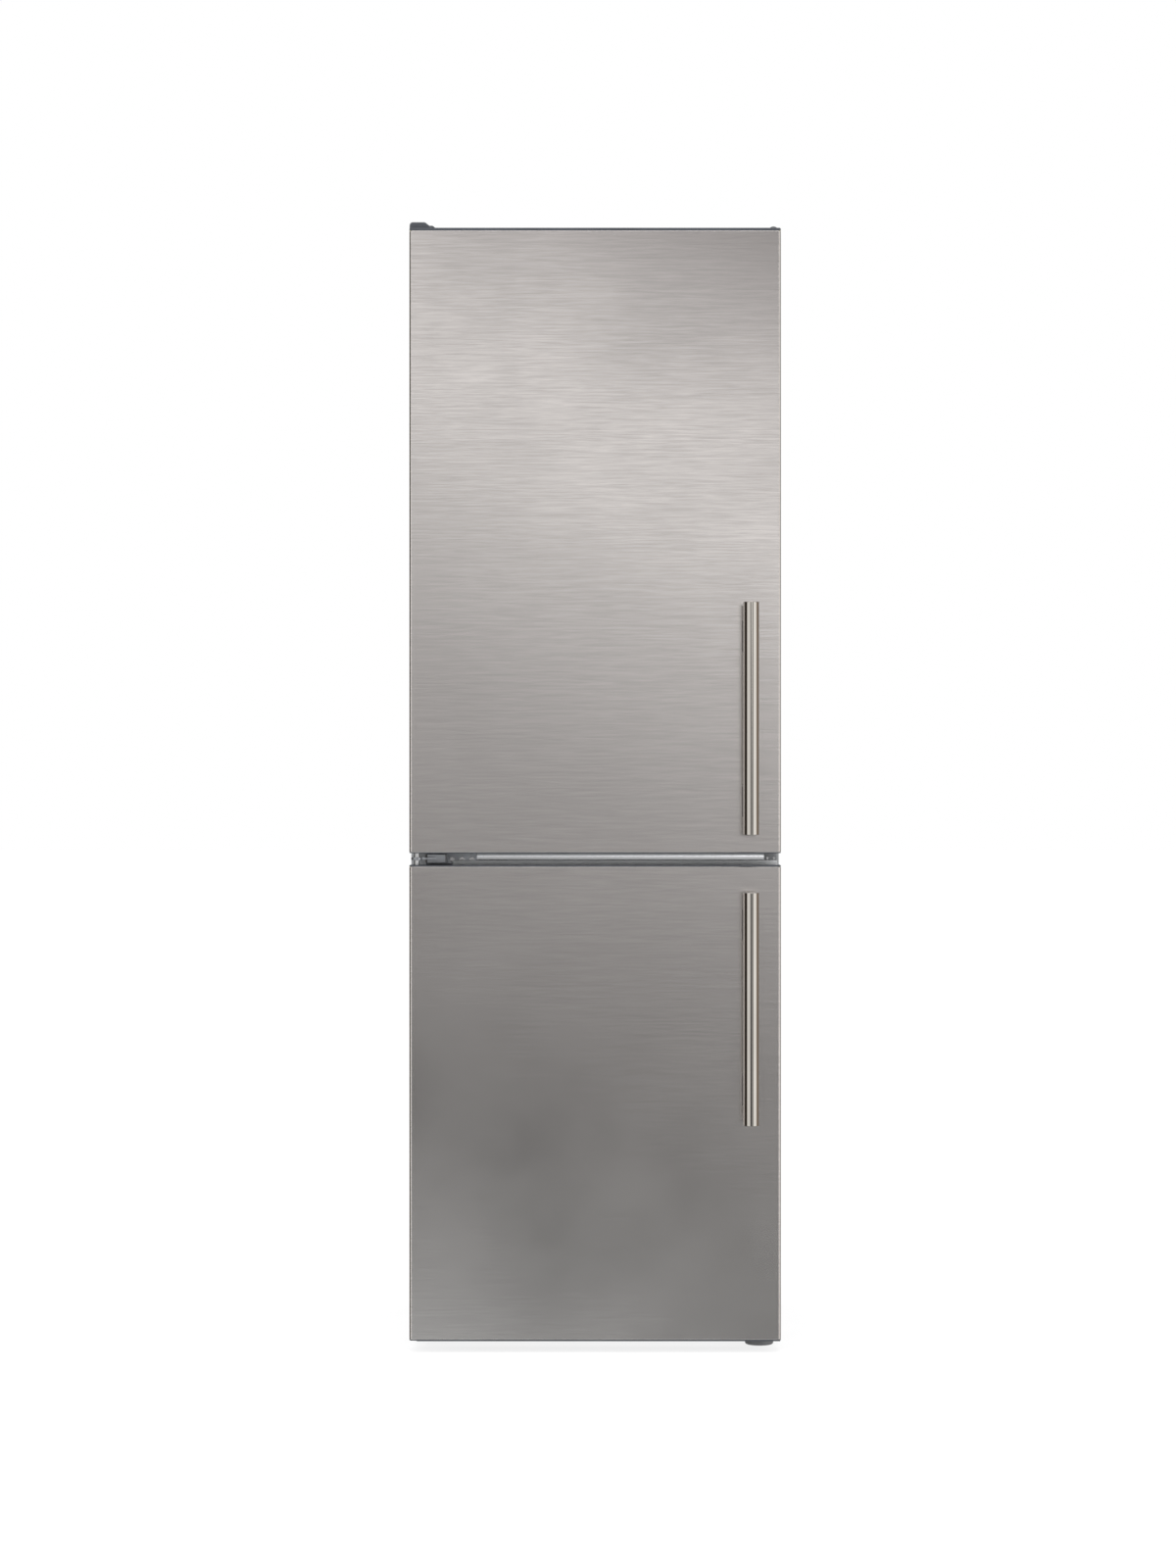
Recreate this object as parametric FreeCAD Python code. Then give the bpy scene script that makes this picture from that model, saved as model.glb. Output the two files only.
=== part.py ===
# A free-standing two-door refrigerator with the freezer below, in millimetres.
# +Z is up, the doors face -Y, and the origin is on the floor under the centre of the whole.
import FreeCAD, Part
import math
import os

Vector = FreeCAD.Vector
X_AXIS = Vector(1, 0, 0)
Y_AXIS = Vector(0, 1, 0)
Z_AXIS = Vector(0, 0, 1)

# Overall layout, front to back and side to side
WIDTH = 595.0
HANDLE_STANDOFF = 50.0
HANDLE_DIAMETER = 25.0
DOOR_DEPTH = 58.0
SEAL_GAP = 12.0
CABINET_DEPTH = 545.0
CONDENSER_SPACE = 35.0

# Overall layout, floor upwards
FLOOR_GAP = 20.0
LOWER_DOOR_HEIGHT = 760.0
DOOR_GAP = 20.0
UPPER_DOOR_HEIGHT = 1000.0
TOP_REVEAL = 3.0
RAIL_BOTTOM = 24.0
RAIL_HEIGHT = 14.0

# Cabinet walls, from the outside to the inside of the liner
SIDE_WALL = 51.5
TOP_WALL = 48.0
FREEZER_FLOOR = 42.0
MULLION_HEIGHT = 76.0
REAR_WALL = 55.0
LINER = 2.0
CAVITY_RADIUS = 14.0
FREEZER_STEP_FOAM = 45.0

# Cabinet sheet metal
SHEET = 0.8
CORNER_RADIUS = 2.4
FRONT_FLANGE = 24.0
REAR_FLANGE = 12.0
TOP_FLANGE = 30.0
SIDE_SKIRT = 8.0
COMPARTMENT_DEPTH = 190.0
COMPARTMENT_HEIGHT = 212.0

# Rail between the two door openings and its end cover
BAR_SHEET = 1.2
BAR_HEIGHT = 36.0
BAR_LIP = 12.0
END_COVER_WIDTH = 21.0
END_COVER_HEIGHT = 18.0
END_COVER_THICK = 3.0
END_COVER_INSET = 3.0

# Hinges
HINGE_INSET_X = 11.0
HINGE_INSET_Y = 26.0
PIN_DIAMETER = 8.0
PIN_REACH = 14.0
PIN_END_GAP = 1.0
PIN_CLEARANCE = 0.05
BOSS_WALL = 4.0
BOSS_FLOOR = 3.0
HINGE_EYE_RADIUS = 9.0
TOP_HINGE_PLATE = 3.0
TOP_HINGE_WIDTH = 26.0
TOP_HINGE_LENGTH = 62.0
MIDDLE_PLATE = 4.0
MIDDLE_BLOCK_WIDTH = 34.0
MIDDLE_BLOCK_START = 13.5
MIDDLE_BLOCK_HEIGHT = 13.0
MIDDLE_BLOCK_DEPTH = 30.0
MIDDLE_FLANGE = 48.0
MIDDLE_FLANGE_HEIGHT = 18.0
FLANGE_THICK = 3.0
NOTCH_RADIUS = 3.0
BOTTOM_PLATE = 2.5
BOTTOM_PLATE_GAP = 0.9
BOTTOM_FLANGE_WIDTH = 60.0
BOTTOM_FLANGE_LAP = 12.0
SCREW_HEAD = 8.0
SCREW_HEAD_HEIGHT = 3.2
SMALL_SCREW_HEAD = 4.0
SMALL_SCREW_HEIGHT = 1.0
BRACKET_SCREWS = 3
TOP_SCREW_PITCH = 16.0

# Cover of the top hinge
COVER_WALL = 1.6
COVER_WIDTH = 36.0
COVER_REAR_WIDTH = 46.0
COVER_GAP = 0.3
COVER_FRONT_HEIGHT = 8.0
COVER_REAR_HEIGHT = 11.0
COVER_DROP = 2.0
COVER_OVERHANG = 14.0
COVER_LENGTH = 84.0
COVER_SLOPE = 10.0
COVER_EDGE = 2.5

# Doors
PAN_SHEET = 1.0
PAN_RADIUS = 3.5
PAN_RETURN = 10.0
CAP_THICK = 2.5
CAP_RIB = 8.0
CAP_RIB_THICK = 2.0
CAP_WEDGE_RISE = 7.0
CAP_WEDGE_START = 20.0
CAP_WEDGE_CLEAR = 57.0
CAP_WEDGE_END = 3.5
DOOR_LINER = 2.0
PLUG_RADIUS = 4.5
PLUG_RISE = 2.2
PLUG_SHOULDER_SHARE = 0.88
GASKET_CLEARANCE = 0.3
GASKET_SIDE_INSET = 12.5
GASKET_END_INSET = 4.0
GASKET_SILL_INSET = 6.0
GASKET_WIDTH = 20.0
GASKET_FOOT = 12.0
GASKET_FOOT_DEPTH = 4.0
GASKET_FOLD_DEPTH = 4.0
GASKET_FOLD_STEP = 3.0

# Ridges and lugs of the upper door's liner
RIDGE_SIDE_INSET = 65.5
RIDGE_THICK = 20.0
RIDGE_DEPTH = 40.0
RIDGE_END_GAP = 14.0
RIDGE_RADIUS = 4.0
LUG_WIDTH = 5.0
LUG_HEIGHT = 10.0
LUG_START = 10.0
LUG_END = 3.0

# Raised panel of the lower door's liner
PANEL_INSET = 71.0
PANEL_RISE = 10.0
PANEL_SLOPE = 14.0

# Handles
HANDLE_LENGTH = 370.0
HANDLE_EDGE_INSET = 50.0
UPPER_HANDLE_RISE = 29.0
LOWER_HANDLE_DROP = 42.5
BRACKET_HEIGHT = 49.0
BRACKET_END_GAP = 28.0
BRACKET_WIDTH = 22.0
BRACKET_BASE_WIDTH = 26.0
BRACKET_BASE_DEPTH = 5.0
SADDLE_DEPTH = 7.0

# Door bins
BIN_CLEARANCE = 0.5
BIN_DEPTH = 88.0
BIN_HEIGHT = 70.0
BIN_WALL = 2.4
BIN_RADIUS = 22.0
BIN_REAR_GAP = 2.0
BIN_HOOK = 4.6
BIN_HOOK_THICK = 3.0
BIN_RAIL = 8.0
BIN_HEIGHT_SHARES = (0.325, 0.557, 0.789)
BOTTLE_DEPTH = 100.0
BOTTLE_HEIGHT = 112.0

# Shelves of the fridge space
GLASS = 4.0
CRISPER_COVER_RISE = 184.0
SHELF_HEIGHT_SHARES = (0.38, 0.563, 0.746)
SHELF_START = 112.0
SHELF_REAR_GAP = 32.0
SHELF_SIDE_GAP = 1.5
RIB_WIDTH = 8.0
RIB_HEIGHT = 8.0
RIB_START = 105.0
RIB_END_GAP = 20.0
RIB_CHAMFER = 2.0
TRIM_WALL = 2.5
TRIM_GRIP = 12.0
TRIM_SIDE_GAP = 1.0

# Drawers
DRAWER_WALL = 2.4
DRAWER_TAPER = 7.0
DRAWER_RADIUS = 12.0
DRAWER_FRONT = 12.0
DRAWER_LIP = 5.0
DRAWER_LIP_HEIGHT = 4.0
DRAWER_GAP = 0.3
GRIP_WIDTH = 150.0
GRIP_HEIGHT = 22.0
GRIP_DEPTH = 7.0
GRIP_TOP = 14.0
RUNNER_HEIGHT = 3.7
RUNNER_WIDTH = 10.0
RUNNER_OFFSET = 150.0
CRISPER_SIDE_GAP = 10.0
CRISPER_START = 112.0
CRISPER_REAR_GAP = 90.0
CRISPER_TOP_GAP = 8.0
FREEZER_DRAWER_SIDE_GAP = 11.0
FREEZER_START = 32.0
BOTTOM_DRAWER_REAR_GAP = 16.0
UPPER_DRAWER_REAR_GAP = 18.0
DRAWER_TOP_GAP = 6.0
STEP_SHELF_LIFT = 1.0
FREEZER_SHELF_SHARE = 0.482
FREEZER_SHELF_START = 50.0
FREEZER_SHELF_END = 8.0

# Control housing, lamp, knob and light switch under the ceiling of the fridge space
HOUSING_HALF_WIDTH = 150.0
HOUSING_START = 90.0
HOUSING_DEPTH = 240.0
HOUSING_HEIGHT = 40.0
HOUSING_RADIUS = 6.0
LAMP_HALF_WIDTH = 60.0
LAMP_START = 50.0
LAMP_DEPTH = 110.0
LAMP_RECESS = 14.0
LAMP_WALL = 2.0
KNOB_RADIUS = 17.0
KNOB_DEPTH = 14.0
KNOB_OFFSET = 95.0
KNOB_GAP = 0.4
KNOB_GRIP_WIDTH = 6.0
KNOB_SHAFT = 6.0
KNOB_SHAFT_LENGTH = 12.0
SWITCH_HALF_WIDTH = 14.0
SWITCH_SIDE_GAP = 46.0
SWITCH_BODY_START = 42.0
SWITCH_BODY_HEIGHT = 34.0
PLUNGER_SIZE = 8.0
PLUNGER_SLACK = 0.3
PLUNGER_HOLE = 20.0
PLUNGER_TIP_GAP = 0.3
PLUNGER_DROP = 24.0

# Air duct cover on the rear wall of the fridge space
DUCT_HALF_WIDTH = 70.0
DUCT_THICK = 14.0
DUCT_RISE = 48.0
DUCT_TOP_GAP = 65.0
DUCT_CHAMFER = 6.0
DUCT_SLOT_WIDTH = 44.0
DUCT_SLOT_HEIGHT = 5.0
DUCT_SLOT_PITCH = 11.0
DUCT_SLOT_ROWS = 2
DUCT_SLOT_DEPTH = 5.0

# Evaporator, its cover and its fan behind the freezer space
EVAPORATOR_SPACE = 60.0
EVAPORATOR_COVER_THICK = 3.0
EVAPORATOR_COVER_GAP = 1.0
GRILLE_RADIUS = 56.0
GRILLE_DROP = 97.0
GRILLE_BAR = 3.0
GRILLE_RINGS = 2
GRILLE_HUB = 14.0
RETURN_SLOT_WIDTH = 300.0
RETURN_SLOT_HEIGHT = 8.0
RETURN_SLOT_PITCH = 16.0
RETURN_SLOT_ROWS = 3
RETURN_SLOT_START = 16.0
FAN_RADIUS = 50.0
FAN_HUB_RADIUS = 16.0
FAN_DEPTH = 14.0
FAN_BLADES = 5
FAN_BLADE_THICK = 1.6
FAN_PITCH_ANGLE = 32.0
FAN_GAP = 4.0
MOTOR_RADIUS = 24.0
MOTOR_SHAFT = 4.0
EVAPORATOR_SIDE_GAP = 76.0
EVAPORATOR_RISE = 35.0
EVAPORATOR_FAN_GAP = 69.0
EVAPORATOR_DEPTH = 42.0
EVAPORATOR_TUBE = 8.0
EVAPORATOR_TUBES = 3
EVAPORATOR_FINS = 8
FIN_THICK = 0.8

# Base: rails, tray, feet and rear rollers
RAIL_WIDTH = 34.0
RAIL_SHEET = 2.0
RAIL_CENTRE_INSET = 30.8
RAIL_FRONT_GAP = 2.0
TRAY_SHEET = 1.5
ROLLER_RADIUS = 17.0
ROLLER_WIDTH = 26.0
ROLLER_SETBACK = 60.0
ROLLER_CHAMFER = 2.0
AXLE_DIAMETER = 8.0
AXLE_HEAD = 14.0
AXLE_HEAD_THICK = 2.0
EAR_RADIUS = 9.0
FOOT_RADIUS = 23.0
FOOT_HEIGHT = 10.0
FOOT_SIDES = 18
FOOT_TOP_TAPER = 3.0
FOOT_HEX = 17.0
FOOT_HEX_HEIGHT = 6.0
STUD_DIAMETER = 10.0
STUD_TOP_GAP = 0.8
STUD_CLEARANCE = 0.05
NUT_WIDTH = 17.0
NUT_HEIGHT = 8.0
RIGHT_FOOT_SETBACK = 26.0
LEFT_FOOT_SETBACK = 90.0

# Compressor space
COMPRESSOR_X = 60.0
COMPRESSOR_SETBACK = 95.0
COMPRESSOR_RADIUS = 74.0
COMPRESSOR_SEAM = 3.0
COMPRESSOR_HEIGHT = 158.0
COMPRESSOR_DOME = 42.0
DOME_SHARES = ((0.0, 1.0), (0.5, 0.87), (0.87, 0.5), (1.0, 0.0))
COMPRESSOR_PLATE = 3.0
COMPRESSOR_PLATE_HALF = 88.0
COMPRESSOR_PLATE_DEPTH = 60.0
GROMMET_RADIUS = 12.0
GROMMET_HEIGHT = 14.0
GROMMET_NECK = 8.0
GROMMET_INSET = 14.0
GROMMET_SIDES = 10
RELAY_WIDTH = 34.0
RELAY_DEPTH = 52.0
RELAY_HEIGHT = 62.0
RELAY_LIFT = 40.0
PIPE_RADIUS = 3.2
PIPE_BEND = 16.0
STUB_RISE = 36.0
DRIER_RADIUS = 9.0
DRIER_LENGTH = 90.0
DRIER_TAPER = 12.0
DRIER_X = -150.0
DRIER_SETBACK = 60.0
DRIER_LIFT = 90.0
DRIER_CLIP = 3.0
DRIP_TRAY_HALF_WIDTH = 90.0
DRIP_TRAY_DEPTH = 130.0
DRIP_TRAY_HEIGHT = 24.0
DRIP_TRAY_WALL = 2.0
DRIP_TRAY_TAPER = 5.0
INLET_WIDTH = 50.0
INLET_HEIGHT = 30.0
INLET_DEPTH = 26.0
INLET_SIDE_INSET = 67.5
INLET_LIFT = 120.0
INLET_RECESS = 18.0
INLET_WALL = 5.0
INLET_PIN = 3.0

# Condenser on the back
CONDENSER_SIDE_INSET = 57.5
CONDENSER_RISE = 150.0
CONDENSER_PASSES = 16
CONDENSER_PITCH = 72.0
CONDENSER_TUBE_RADIUS = 2.4
BEND_FLATS = 3
CONDENSER_STANDOFF = 20.0
CONDENSER_WIRE = 1.5
CONDENSER_WIRES = 16
WIRE_OVERRUN = 12.0
SPACER_WIDTH = 16.0
SPACER_HEIGHT = 30.0

# Facets of round pieces that carry no fit, and of rounded corners
ROUND_SIDES = 16
CORNER_FLATS = 3
PIPE_SIDES = 6

# How far a cutting tool reaches past what it cuts
OVERRUN = 20.0

# Places that follow from the sizes above
depth = HANDLE_STANDOFF + HANDLE_DIAMETER / 2 + DOOR_DEPTH + SEAL_GAP + CABINET_DEPTH + CONDENSER_SPACE
door_y = -depth / 2 + HANDLE_STANDOFF + HANDLE_DIAMETER / 2
door_rear = door_y + DOOR_DEPTH
cabinet_y = door_rear + SEAL_GAP
rear_y = cabinet_y + CABINET_DEPTH
lower_z0 = FLOOR_GAP
lower_z1 = lower_z0 + LOWER_DOOR_HEIGHT
upper_z0 = lower_z1 + DOOR_GAP
upper_z1 = upper_z0 + UPPER_DOOR_HEIGHT
gap_z = (lower_z1 + upper_z0) / 2
cabinet_z0 = RAIL_BOTTOM + RAIL_HEIGHT
cabinet_z1 = upper_z1 + TOP_REVEAL
side_x = WIDTH / 2
wall_x = side_x - SHEET
cavity_x = side_x - SIDE_WALL
flange_x = side_x - FRONT_FLANGE
cavity_rear = rear_y - REAR_WALL
back_y = rear_y - SHEET
freezer_z0 = cabinet_z0 + FREEZER_FLOOR
freezer_z1 = gap_z - MULLION_HEIGHT / 2
fridge_z0 = gap_z + MULLION_HEIGHT / 2
fridge_z1 = cabinet_z1 - TOP_WALL
sill_z = cabinet_z0 + FRONT_FLANGE
bar_z0 = gap_z - BAR_HEIGHT / 2
bar_z1 = gap_z + BAR_HEIGHT / 2
compartment_y = rear_y - COMPARTMENT_DEPTH
compartment_z1 = cabinet_z0 + COMPARTMENT_HEIGHT
step_z = compartment_z1 + FREEZER_STEP_FOAM
step_y = compartment_y - FREEZER_STEP_FOAM
hinge_x = -side_x + HINGE_INSET_X
hinge_y = door_y + HINGE_INSET_Y
handle_x = side_x - HANDLE_EDGE_INSET
handle_y = door_y - HANDLE_STANDOFF
rail_x = side_x - RAIL_CENTRE_INSET
roller_y = rear_y - ROLLER_SETBACK
compressor_y = rear_y - COMPRESSOR_SETBACK
tray_z = cabinet_z0 + TRAY_SHEET
plate_z = tray_z + GROMMET_HEIGHT
housing_y = cabinet_y + HOUSING_START
housing_z = fridge_z1 - HOUSING_HEIGHT
ridge_z0 = fridge_z0 + RIDGE_END_GAP
ridge_z1 = fridge_z1 - RIDGE_END_GAP
bottle_floor = ridge_z0 + RIDGE_THICK + BIN_REAR_GAP
fridge_height = fridge_z1 - fridge_z0
ridge_x = side_x - RIDGE_SIDE_INSET
bin_floors = [fridge_z0 + share * fridge_height for share in BIN_HEIGHT_SHARES]
crisper_cover_z = fridge_z0 + CRISPER_COVER_RISE
shelf_levels = [crisper_cover_z] + [fridge_z0 + share * fridge_height for share in SHELF_HEIGHT_SHARES]
shelf_front = cabinet_y + SHELF_START
shelf_rear = cavity_rear - SHELF_REAR_GAP
low_shelf_z = step_z + STEP_SHELF_LIFT
freezer_shelf_levels = (low_shelf_z, low_shelf_z + FREEZER_SHELF_SHARE * (freezer_z1 - low_shelf_z))
crisper_x = cavity_x - CRISPER_SIDE_GAP
freezer_drawer_x = cavity_x - FREEZER_DRAWER_SIDE_GAP
switch_x = cavity_x - SWITCH_SIDE_GAP
evaporator_cover_y = cavity_rear - EVAPORATOR_SPACE
evaporator_x = cavity_x - EVAPORATOR_SIDE_GAP
grille_z = freezer_z1 - GRILLE_DROP
evaporator_z0 = step_z + EVAPORATOR_RISE
evaporator_z1 = grille_z - GRILLE_RADIUS - EVAPORATOR_FAN_GAP
inlet_x = -side_x + INLET_SIDE_INSET
condenser_x = side_x - CONDENSER_SIDE_INSET
bottom_flange_z1 = cabinet_z0 + BOTTOM_FLANGE_LAP
upper_handle_z = upper_z0 + UPPER_HANDLE_RISE
lower_handle_z = lower_z1 - LOWER_HANDLE_DROP - HANDLE_LENGTH
condenser_z0 = compartment_z1 + CONDENSER_RISE
condenser_z1 = condenser_z0 + (CONDENSER_PASSES - 1) * CONDENSER_PITCH
wire_pitch = 2 * (condenser_x - CONDENSER_PITCH / 2) / (CONDENSER_WIRES - 1)
spacer_x = condenser_x - CONDENSER_PITCH / 2 - wire_pitch / 2


def block(x0, x1, y0, y1, z0, z1):
    """A box between two opposite corners."""
    return Part.makeBox(x1 - x0, y1 - y0, z1 - z0, Vector(x0, y0, z0))


def rod(x, y, z, radius, length, axis):
    """A cylinder that starts at a point and runs along an axis."""
    return Part.makeCylinder(radius, length, Vector(x, y, z), axis)


def prism(points, way):
    """A closed outline of points pushed along a vector."""
    return Part.Face(Part.makePolygon(points + points[:1])).extrude(way)


def prism_x(points, x0, x1):
    """An outline of (y, z) points between two x values."""
    return prism([Vector(x0, y, z) for y, z in points], Vector(x1 - x0, 0, 0))


def prism_y(points, y0, y1):
    """An outline of (x, z) points between two y values."""
    return prism([Vector(x, y0, z) for x, z in points], Vector(0, y1 - y0, 0))


def prism_z(points, z0, z1):
    """An outline of (x, y) points between two z values."""
    return prism([Vector(x, y, z0) for x, y in points], Vector(0, 0, z1 - z0))


def polygon_points(z, radius, sides):
    """The corners of a level regular polygon around the Z axis."""
    turn = 2 * math.pi / sides
    return [Vector(radius * math.cos(turn * i), radius * math.sin(turn * i), z) for i in range(sides)]


def polygon_wire(z, radius, sides):
    """A level regular polygon around the Z axis."""
    corners = polygon_points(z, radius, sides)
    return Part.makePolygon(corners + corners[:1])


def skinned(rings):
    """A solid through rings of points, with flat faces between each ring and the next."""
    faces = [flat(rings[0]), flat(rings[-1])]
    for low, high in zip(rings, rings[1:]):
        for i in range(len(low)):
            j = (i + 1) % len(low)
            faces.append(flat([low[i], low[j], high[j], high[i]]))
    return Part.Solid(Part.makeShell(faces)).removeSplitter()


def flat(points):
    """A flat face inside a closed run of points."""
    return Part.Face(Part.makePolygon(points + points[:1]))


def turned(stations, sides, place, axis):
    """A many-sided turned body through (height, radius) stations, set at a place along an axis."""
    body = skinned([polygon_points(z, radius, sides) for z, radius in stations])
    body.Placement = FreeCAD.Placement(place, FreeCAD.Rotation(Z_AXIS, axis))
    return body


def polygon_rod(x, y, z0, z1, radius, sides):
    """An upright bar whose section is a regular polygon."""
    return turned([(0, radius), (z1 - z0, radius)], sides, Vector(x, y, z0), Z_AXIS)


def disc(x, y, z, radius, length, axis):
    """A many-sided disc for round pieces that nothing turns on."""
    return turned([(0, radius), (length, radius)], ROUND_SIDES, Vector(x, y, z), axis)


def straight_edges(shape, keep):
    """The straight edges whose direction and middle pass a test."""
    edges = []
    for edge in shape.Edges:
        if len(edge.Vertexes) == 2 and isinstance(edge.Curve, Part.Line):
            if keep(edge.tangentAt(edge.FirstParameter), edge.CenterOfMass):
                edges.append(edge)
    return edges


def fillet(shape, radius, keep):
    """Round the straight edges whose direction and middle pass a test."""
    return shape.makeFillet(radius, straight_edges(shape, keep))


def upright(direction):
    """True for an edge along Z."""
    return abs(direction.z) > abs(direction.x) + abs(direction.y)


def rounded_block(x0, x1, y0, y1, z0, z1, radius):
    """A box with its four upright edges rounded."""
    return flat(rounded_rectangle(x0, x1, y0, y1, z0, radius)).extrude(Vector(0, 0, z1 - z0))


def chamfer(shape, size, keep):
    """Break the straight edges whose direction and middle pass a test."""
    return shape.makeChamfer(size, straight_edges(shape, keep))


def rounded_rectangle(x0, x1, y0, y1, z, radius):
    """The points of a level rectangle whose corners are rounded by a few flats."""
    centres = ((x1 - radius, y1 - radius), (x0 + radius, y1 - radius),
               (x0 + radius, y0 + radius), (x1 - radius, y0 + radius))
    points = []
    for quarter, (cx, cy) in enumerate(centres):
        for i in range(CORNER_FLATS + 1):
            angle = math.pi / 2 * (quarter + i / CORNER_FLATS)
            points.append(Vector(cx + radius * math.cos(angle), cy + radius * math.sin(angle), z))
    return points


def tapered_block(x0, x1, y0, y1, z0, z1, radius, taper):
    """A rounded box that is smaller at its foot by the taper on every side."""
    foot = rounded_rectangle(x0 + taper, x1 - taper, y0 + taper, y1 - taper, z0, radius)
    top = rounded_rectangle(x0, x1, y0, y1, z1, radius)
    return skinned([foot, top])


def tub(x0, x1, y0, y1, z0, z1, wall, radius, taper):
    """An open-topped tapered container."""
    outside = tapered_block(x0, x1, y0, y1, z0, z1, radius, taper)
    rise = (z1 - z0) / (z1 - z0 - wall)
    inside = tapered_block(
        x0 + wall, x1 - wall, y0 + wall, y1 - wall, z0 + wall, z1, radius - wall, taper / rise
    )
    return outside.cut(inside)


def fuse(shapes):
    """One clean solid from shapes that overlap or share faces."""
    whole = shapes[0].multiFuse(shapes[1:])
    return whole.removeSplitter()


def hex_screw(x, y, z, width, height, axis):
    """A hexagonal screw head that sits on a face and points along an axis."""
    head = polygon_rod(0, 0, 0, height, width / math.sqrt(3), PIPE_SIDES)
    head.Placement = FreeCAD.Placement(Vector(x, y, z), FreeCAD.Rotation(Z_AXIS, axis))
    return head


def mitred_tube(points, radius):
    """A six-sided tube along straight runs with mitred corners."""
    path = Part.makePolygon(points)
    section = polygon_wire(0, radius, PIPE_SIDES)
    section.Placement = FreeCAD.Placement(points[0], FreeCAD.Rotation(Z_AXIS, points[1] - points[0]))
    return path.makePipeShell([section], True, False, 1)


def side_panels():
    """The two folded side sheets, each with a front and a rear flange."""
    panels = []
    for side in (-1, 1):
        outer = side * side_x
        inner = side * wall_x
        front = side * flange_x
        rear = outer - side * REAR_FLANGE
        outline = [
            (outer, cabinet_y), (outer, rear_y), (rear, rear_y), (rear, back_y), (inner, back_y),
            (inner, cabinet_y + SHEET), (front, cabinet_y + SHEET), (front, cabinet_y),
        ]
        panel = prism_z(outline, cabinet_z0 - SIDE_SKIRT, cabinet_z1)
        panel = fillet(panel, CORNER_RADIUS, lambda d, m: upright(d) and abs(m.y - cabinet_y) < SHEET / 2
                       and abs(abs(m.x) - side_x) < SHEET / 2)
        panel = fillet(panel, CORNER_RADIUS - SHEET, lambda d, m: upright(d)
                       and abs(m.y - cabinet_y - SHEET) < SHEET / 2 and abs(abs(m.x) - wall_x) < SHEET / 2)
        panels.append(panel)
    return Part.makeCompound(panels)


def top_panel():
    """The top sheet with its front flange between the side flanges."""
    sheet = block(-wall_x, wall_x, cabinet_y + CORNER_RADIUS, back_y, cabinet_z1 - SHEET, cabinet_z1)
    strip = block(-flange_x, flange_x, cabinet_y, back_y, cabinet_z1 - SHEET, cabinet_z1)
    flange = block(-flange_x, flange_x, cabinet_y, cabinet_y + SHEET, cabinet_z1 - TOP_FLANGE, cabinet_z1)
    return fuse([sheet, strip, flange])


def back_panel():
    """The flat sheet that closes the foam at the back."""
    return block(-wall_x, wall_x, back_y - SHEET, back_y, compartment_z1, cabinet_z1 - SHEET)


def bottom_panel():
    """The folded sheet under the freezer and over the compressor space."""
    end = back_y - SHEET
    outline = [
        (cabinet_y + SHEET, cabinet_z0), (compartment_y, cabinet_z0), (compartment_y, compartment_z1),
        (end, compartment_z1), (end, compartment_z1 + SHEET),
        (compartment_y - SHEET, compartment_z1 + SHEET),
        (compartment_y - SHEET, cabinet_z0 + SHEET), (cabinet_y + SHEET, cabinet_z0 + SHEET),
    ]
    folded = prism_x(outline, -wall_x, wall_x)
    folded = folded.cut(block(-side_x, side_x, cabinet_y, cabinet_y + CORNER_RADIUS, cabinet_z0, sill_z))
    strip = block(-flange_x, flange_x, cabinet_y, cabinet_y + FRONT_FLANGE, cabinet_z0, cabinet_z0 + SHEET)
    sill = block(-flange_x, flange_x, cabinet_y, cabinet_y + SHEET, cabinet_z0, sill_z)
    return fuse([folded, strip, sill])


def rounded_cavity(x, y1, z0, z1, radius):
    """A box that opens to the front, with the four edges that run to the rear rounded."""
    outline = rounded_rectangle(-x, x, z0, z1, 0, radius)
    return prism_y([(point.x, point.y) for point in outline], cabinet_y - OVERRUN, y1)


def fridge_cavity(grow):
    """The fridge space, or the outside of its liner when grown by the wall."""
    return rounded_cavity(cavity_x + grow, cavity_rear + grow, fridge_z0 - grow, fridge_z1 + grow,
                          CAVITY_RADIUS + grow)


def freezer_cavity(grow):
    """The freezer space with its step over the compressor, or the outside of its liner."""
    low = rounded_cavity(cavity_x + grow, step_y + grow, freezer_z0 - grow, freezer_z1 + grow,
                         CAVITY_RADIUS + grow)
    high = rounded_cavity(cavity_x + grow, cavity_rear + grow, step_z - grow,
                          freezer_z1 + grow, CAVITY_RADIUS + grow)
    return fuse([low, high])


def liner_body(cavity, z0, z1):
    """The filled outside of a liner with its front flange."""
    front = block(-side_x, side_x, cabinet_y - OVERRUN * 2, cabinet_y, z0, z1)
    flange = block(-flange_x, flange_x, cabinet_y, cabinet_y + LINER, z0, z1)
    return fuse([cavity(LINER).cut(front), flange])


def wall_rib(side, y0, y1, top):
    """A moulded shelf rib on a side wall of a liner."""
    inner = side * (cavity_x - RIB_WIDTH)
    outer = side * (cavity_x + LINER / 2)
    rib = block(min(inner, outer), max(inner, outer), y0, y1, top - RIB_HEIGHT, top)
    return chamfer(rib, RIB_CHAMFER, lambda d, m: upright(d) and abs(m.x - inner) < LINER / 2)


def floor_runner(side, y0, y1, z):
    """A moulded runner under a drawer."""
    x = side * RUNNER_OFFSET
    return block(x - RUNNER_WIDTH / 2, x + RUNNER_WIDTH / 2, y0, y1, z - LINER / 2, z + RUNNER_HEIGHT)


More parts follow.
